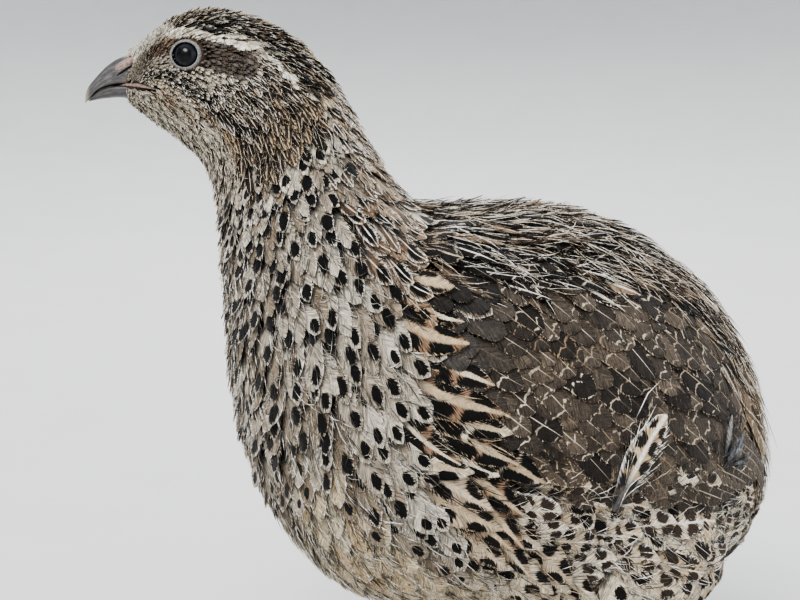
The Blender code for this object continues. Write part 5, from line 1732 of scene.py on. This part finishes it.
def make_coat(bare, rng, nodes):
    """All feather pieces, in the order of their random draws."""
    contour = feather_material("contour_feathers")
    plumed = feather_material("flank_plumage", spot_period=7.4, spot_long=1.15, shaft_tip=0.3)
    spotted = feather_material("rear_plumage", spot_period=4.6, spot_long=1.0, shaft_tip=1.0)
    plain = feather_material("face_down", down=0.0, contrast=0.5)
    barred = feather_material(
        "wing_barring", bar_period=4.5, bar_wide=0.065, bar_wave=0.3, down=0.0, contrast=0.75,
        roughness=0.6, parting=0.35, mottle=0.4,
    )
    breast, wing = "breast_feathers", "wing_feathers"

    def barbs(name, plumes, each, material, slot, stray=1.0, spots=None):
        loose = wisps(plumes, int(plumes.count * each), rng, spots, stray)
        feather_piece(name, loose, "wisp", material)

    coat = body_coat(bare, rng)
    spots = spot_places(coat.take(coat.spot[:, 0] > LEAST_SPOT))
    for name, low, high, vane, slot in COAT_PARTS:
        part = coat.take((coat.station >= low) & (coat.station < high))
        material = plain if vane in ("small", "tiny") else contour
        feather_piece(name + "_feathers", part, vane, material)
        barbs(name + "_wisps", part, WISPS_EACH[vane], material, slot, 1.1, spots)
    for side, word in WORD.items():
        coverts = feather_piece("wing_coverts_" + word, wing_coverts(side, rng), "covert", barred)
        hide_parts("wing_" + word)
        feather_piece("wing_flight_" + word, wing_flight(side, rng), "flight", barred)
        long = scapulars(side, rng)
        feather_piece("scapulars_" + word, long, "streak", barred)
        barbs("scapular_wisps_" + word, long, 7, barred, wing, 1.3)
        flank = flank_plumes(side, rng)
        feather_piece("flank_plumes_" + word, flank, "lance", plumed)
        barbs("flank_wisps_" + word, flank, 2, plumed, breast, 0.6)
        rear = rear_plumes(side, rng)
        feather_piece("rear_plumes_" + word, rear, "fine", spotted)
        barbs("rear_wisps_" + word, rear, 4, contour, breast)
        plumes, grids = thigh_plumes(nodes["thigh_" + word], rng)
        feather_piece("thigh_feathers_" + word, plumes, THIGH_VANE, contour, grids)
    plumes, grids = vent_tuft(rng)
    feather_piece("vent_feathers", plumes, VENT_VANE, contour, grids)
    fan = tail_plumes(rng)
    tail = feather_piece("tail_feathers", fan, "flight", barred)
    barbs("tail_wisps", fan, 22, barred, "tail_feathers", 1.3)
    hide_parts("tail")


DISH = [
    (0.0, 0.0), (0.5, 0.0), (0.8, 0.012), (1.1, 0.05), (1.4, 0.12), (1.7, 0.24), (2.0, 0.42),
    (2.25, 0.68), (2.45, 1.02), (2.58, 1.5), (2.64, 2.1), (2.66, 2.8),
]


def make_stage():
    """A pale dish: a level floor that curves up into a wall all round, open to a soft sky."""
    around = 96
    turn = np.linspace(0, 2 * math.pi, around, endpoint=False)[None]
    radius, height = (np.array(DISH)[1:, k, None] for k in range(2))
    rings = np.stack([radius * np.cos(turn), radius * np.sin(turn), height + 0 * turn], -1)
    points = np.concatenate([rings.reshape(-1, 3), [[0.0, 0.0, 0.0]]])
    faces = grid_faces(len(rings), around)
    k = np.arange(around)
    middle = np.stack([(k + 1) % around, k, np.full(around, len(points) - 1)], 1)
    mesh = bpy.data.meshes.new("floor")
    mesh.from_pydata(points.tolist(), [], np.concatenate([faces, middle]).tolist())
    mesh.shade_smooth()
    floor = bpy.data.objects.new("floor", mesh)
    bpy.context.scene.collection.objects.link(floor)
    g = Graph("pale_floor")
    grain = g.noise(g.place(), 0.02, 2.0)
    floor.data.materials.append(g.finish(g.mix(grain, (0.60, 0.60, 0.59), (0.64, 0.64, 0.63)), 0.9, 0.2))
    world = bpy.data.worlds.new("soft_sky")
    world.use_nodes = True
    sky = world.node_tree.nodes["Background"].inputs
    sky["Color"].default_value, sky["Strength"].default_value = (0.82, 0.86, 0.92, 1.0), 1.0
    bpy.context.scene.world = world


LIGHTS = [
    # name, place, size in metres, watts and colour
    ("key", (-0.75, -0.85, 1.15), 0.8, 19.0, (1.0, 0.99, 0.97)),
    ("fill", (0.9, -0.9, 0.5), 1.2, 4.0, (0.95, 0.97, 1.0)),
    ("rim", (0.35, 0.9, 1.1), 0.8, 12.0, (1.0, 0.99, 0.98)),
]
AIM = (0.0, 0.0, 0.09)


def make_lights():
    for name, place, size, watts, colour in LIGHTS:
        data = bpy.data.lights.new(name, "AREA")
        data.shape, data.size, data.energy, data.color = "DISK", size, watts, colour
        light = bpy.data.objects.new(name, data)
        light.location = place
        light.rotation_euler = (Vector(AIM) - Vector(place)).to_track_quat("-Z", "Y").to_euler()
        bpy.context.scene.collection.objects.link(light)


CAMERA_PLACE = (-0.14253, -0.35506, 0.13838)
CAMERA_YAW, CAMERA_DIP = math.radians(20.0), math.radians(6.1)


def make_camera():
    data = bpy.data.cameras.new("camera")
    data.lens, data.sensor_width, data.sensor_fit = 75.24, 36.0, "HORIZONTAL"
    data.clip_start = 0.01
    camera = bpy.data.objects.new("camera", data)
    level = math.cos(CAMERA_DIP)
    look = Vector((math.sin(CAMERA_YAW) * level, math.cos(CAMERA_YAW) * level, -math.sin(CAMERA_DIP)))
    camera.location = CAMERA_PLACE
    camera.rotation_euler = look.to_track_quat("-Z", "Y").to_euler()
    bpy.context.scene.collection.objects.link(camera)
    bpy.context.scene.camera = camera


def dress_quail():
    """The whole scene."""
    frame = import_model()
    rng = np.random.default_rng(SEED)
    nodes = frame["nodes"]
    make_stage()
    make_lights()
    make_camera()
    Swell.measure(*thigh_mesh(nodes["thigh_left"]), LEFT)
    make_skin(rng, [nodes["thigh_left"], nodes["thigh_right"]])
    for side in (LEFT, RIGHT):
        make_eye(side)
        make_lid(side)
    make_mandible("bill_upper", UPPER_BILL, False)
    make_mandible("bill_lower", LOWER_BILL, True)
    make_nostrils()
    bare = make_gapes()
    finish_legs(nodes)
    make_coat(bare, rng, nodes)


dress_quail()
bpy.context.scene.view_settings.look = "AgX - High Contrast"
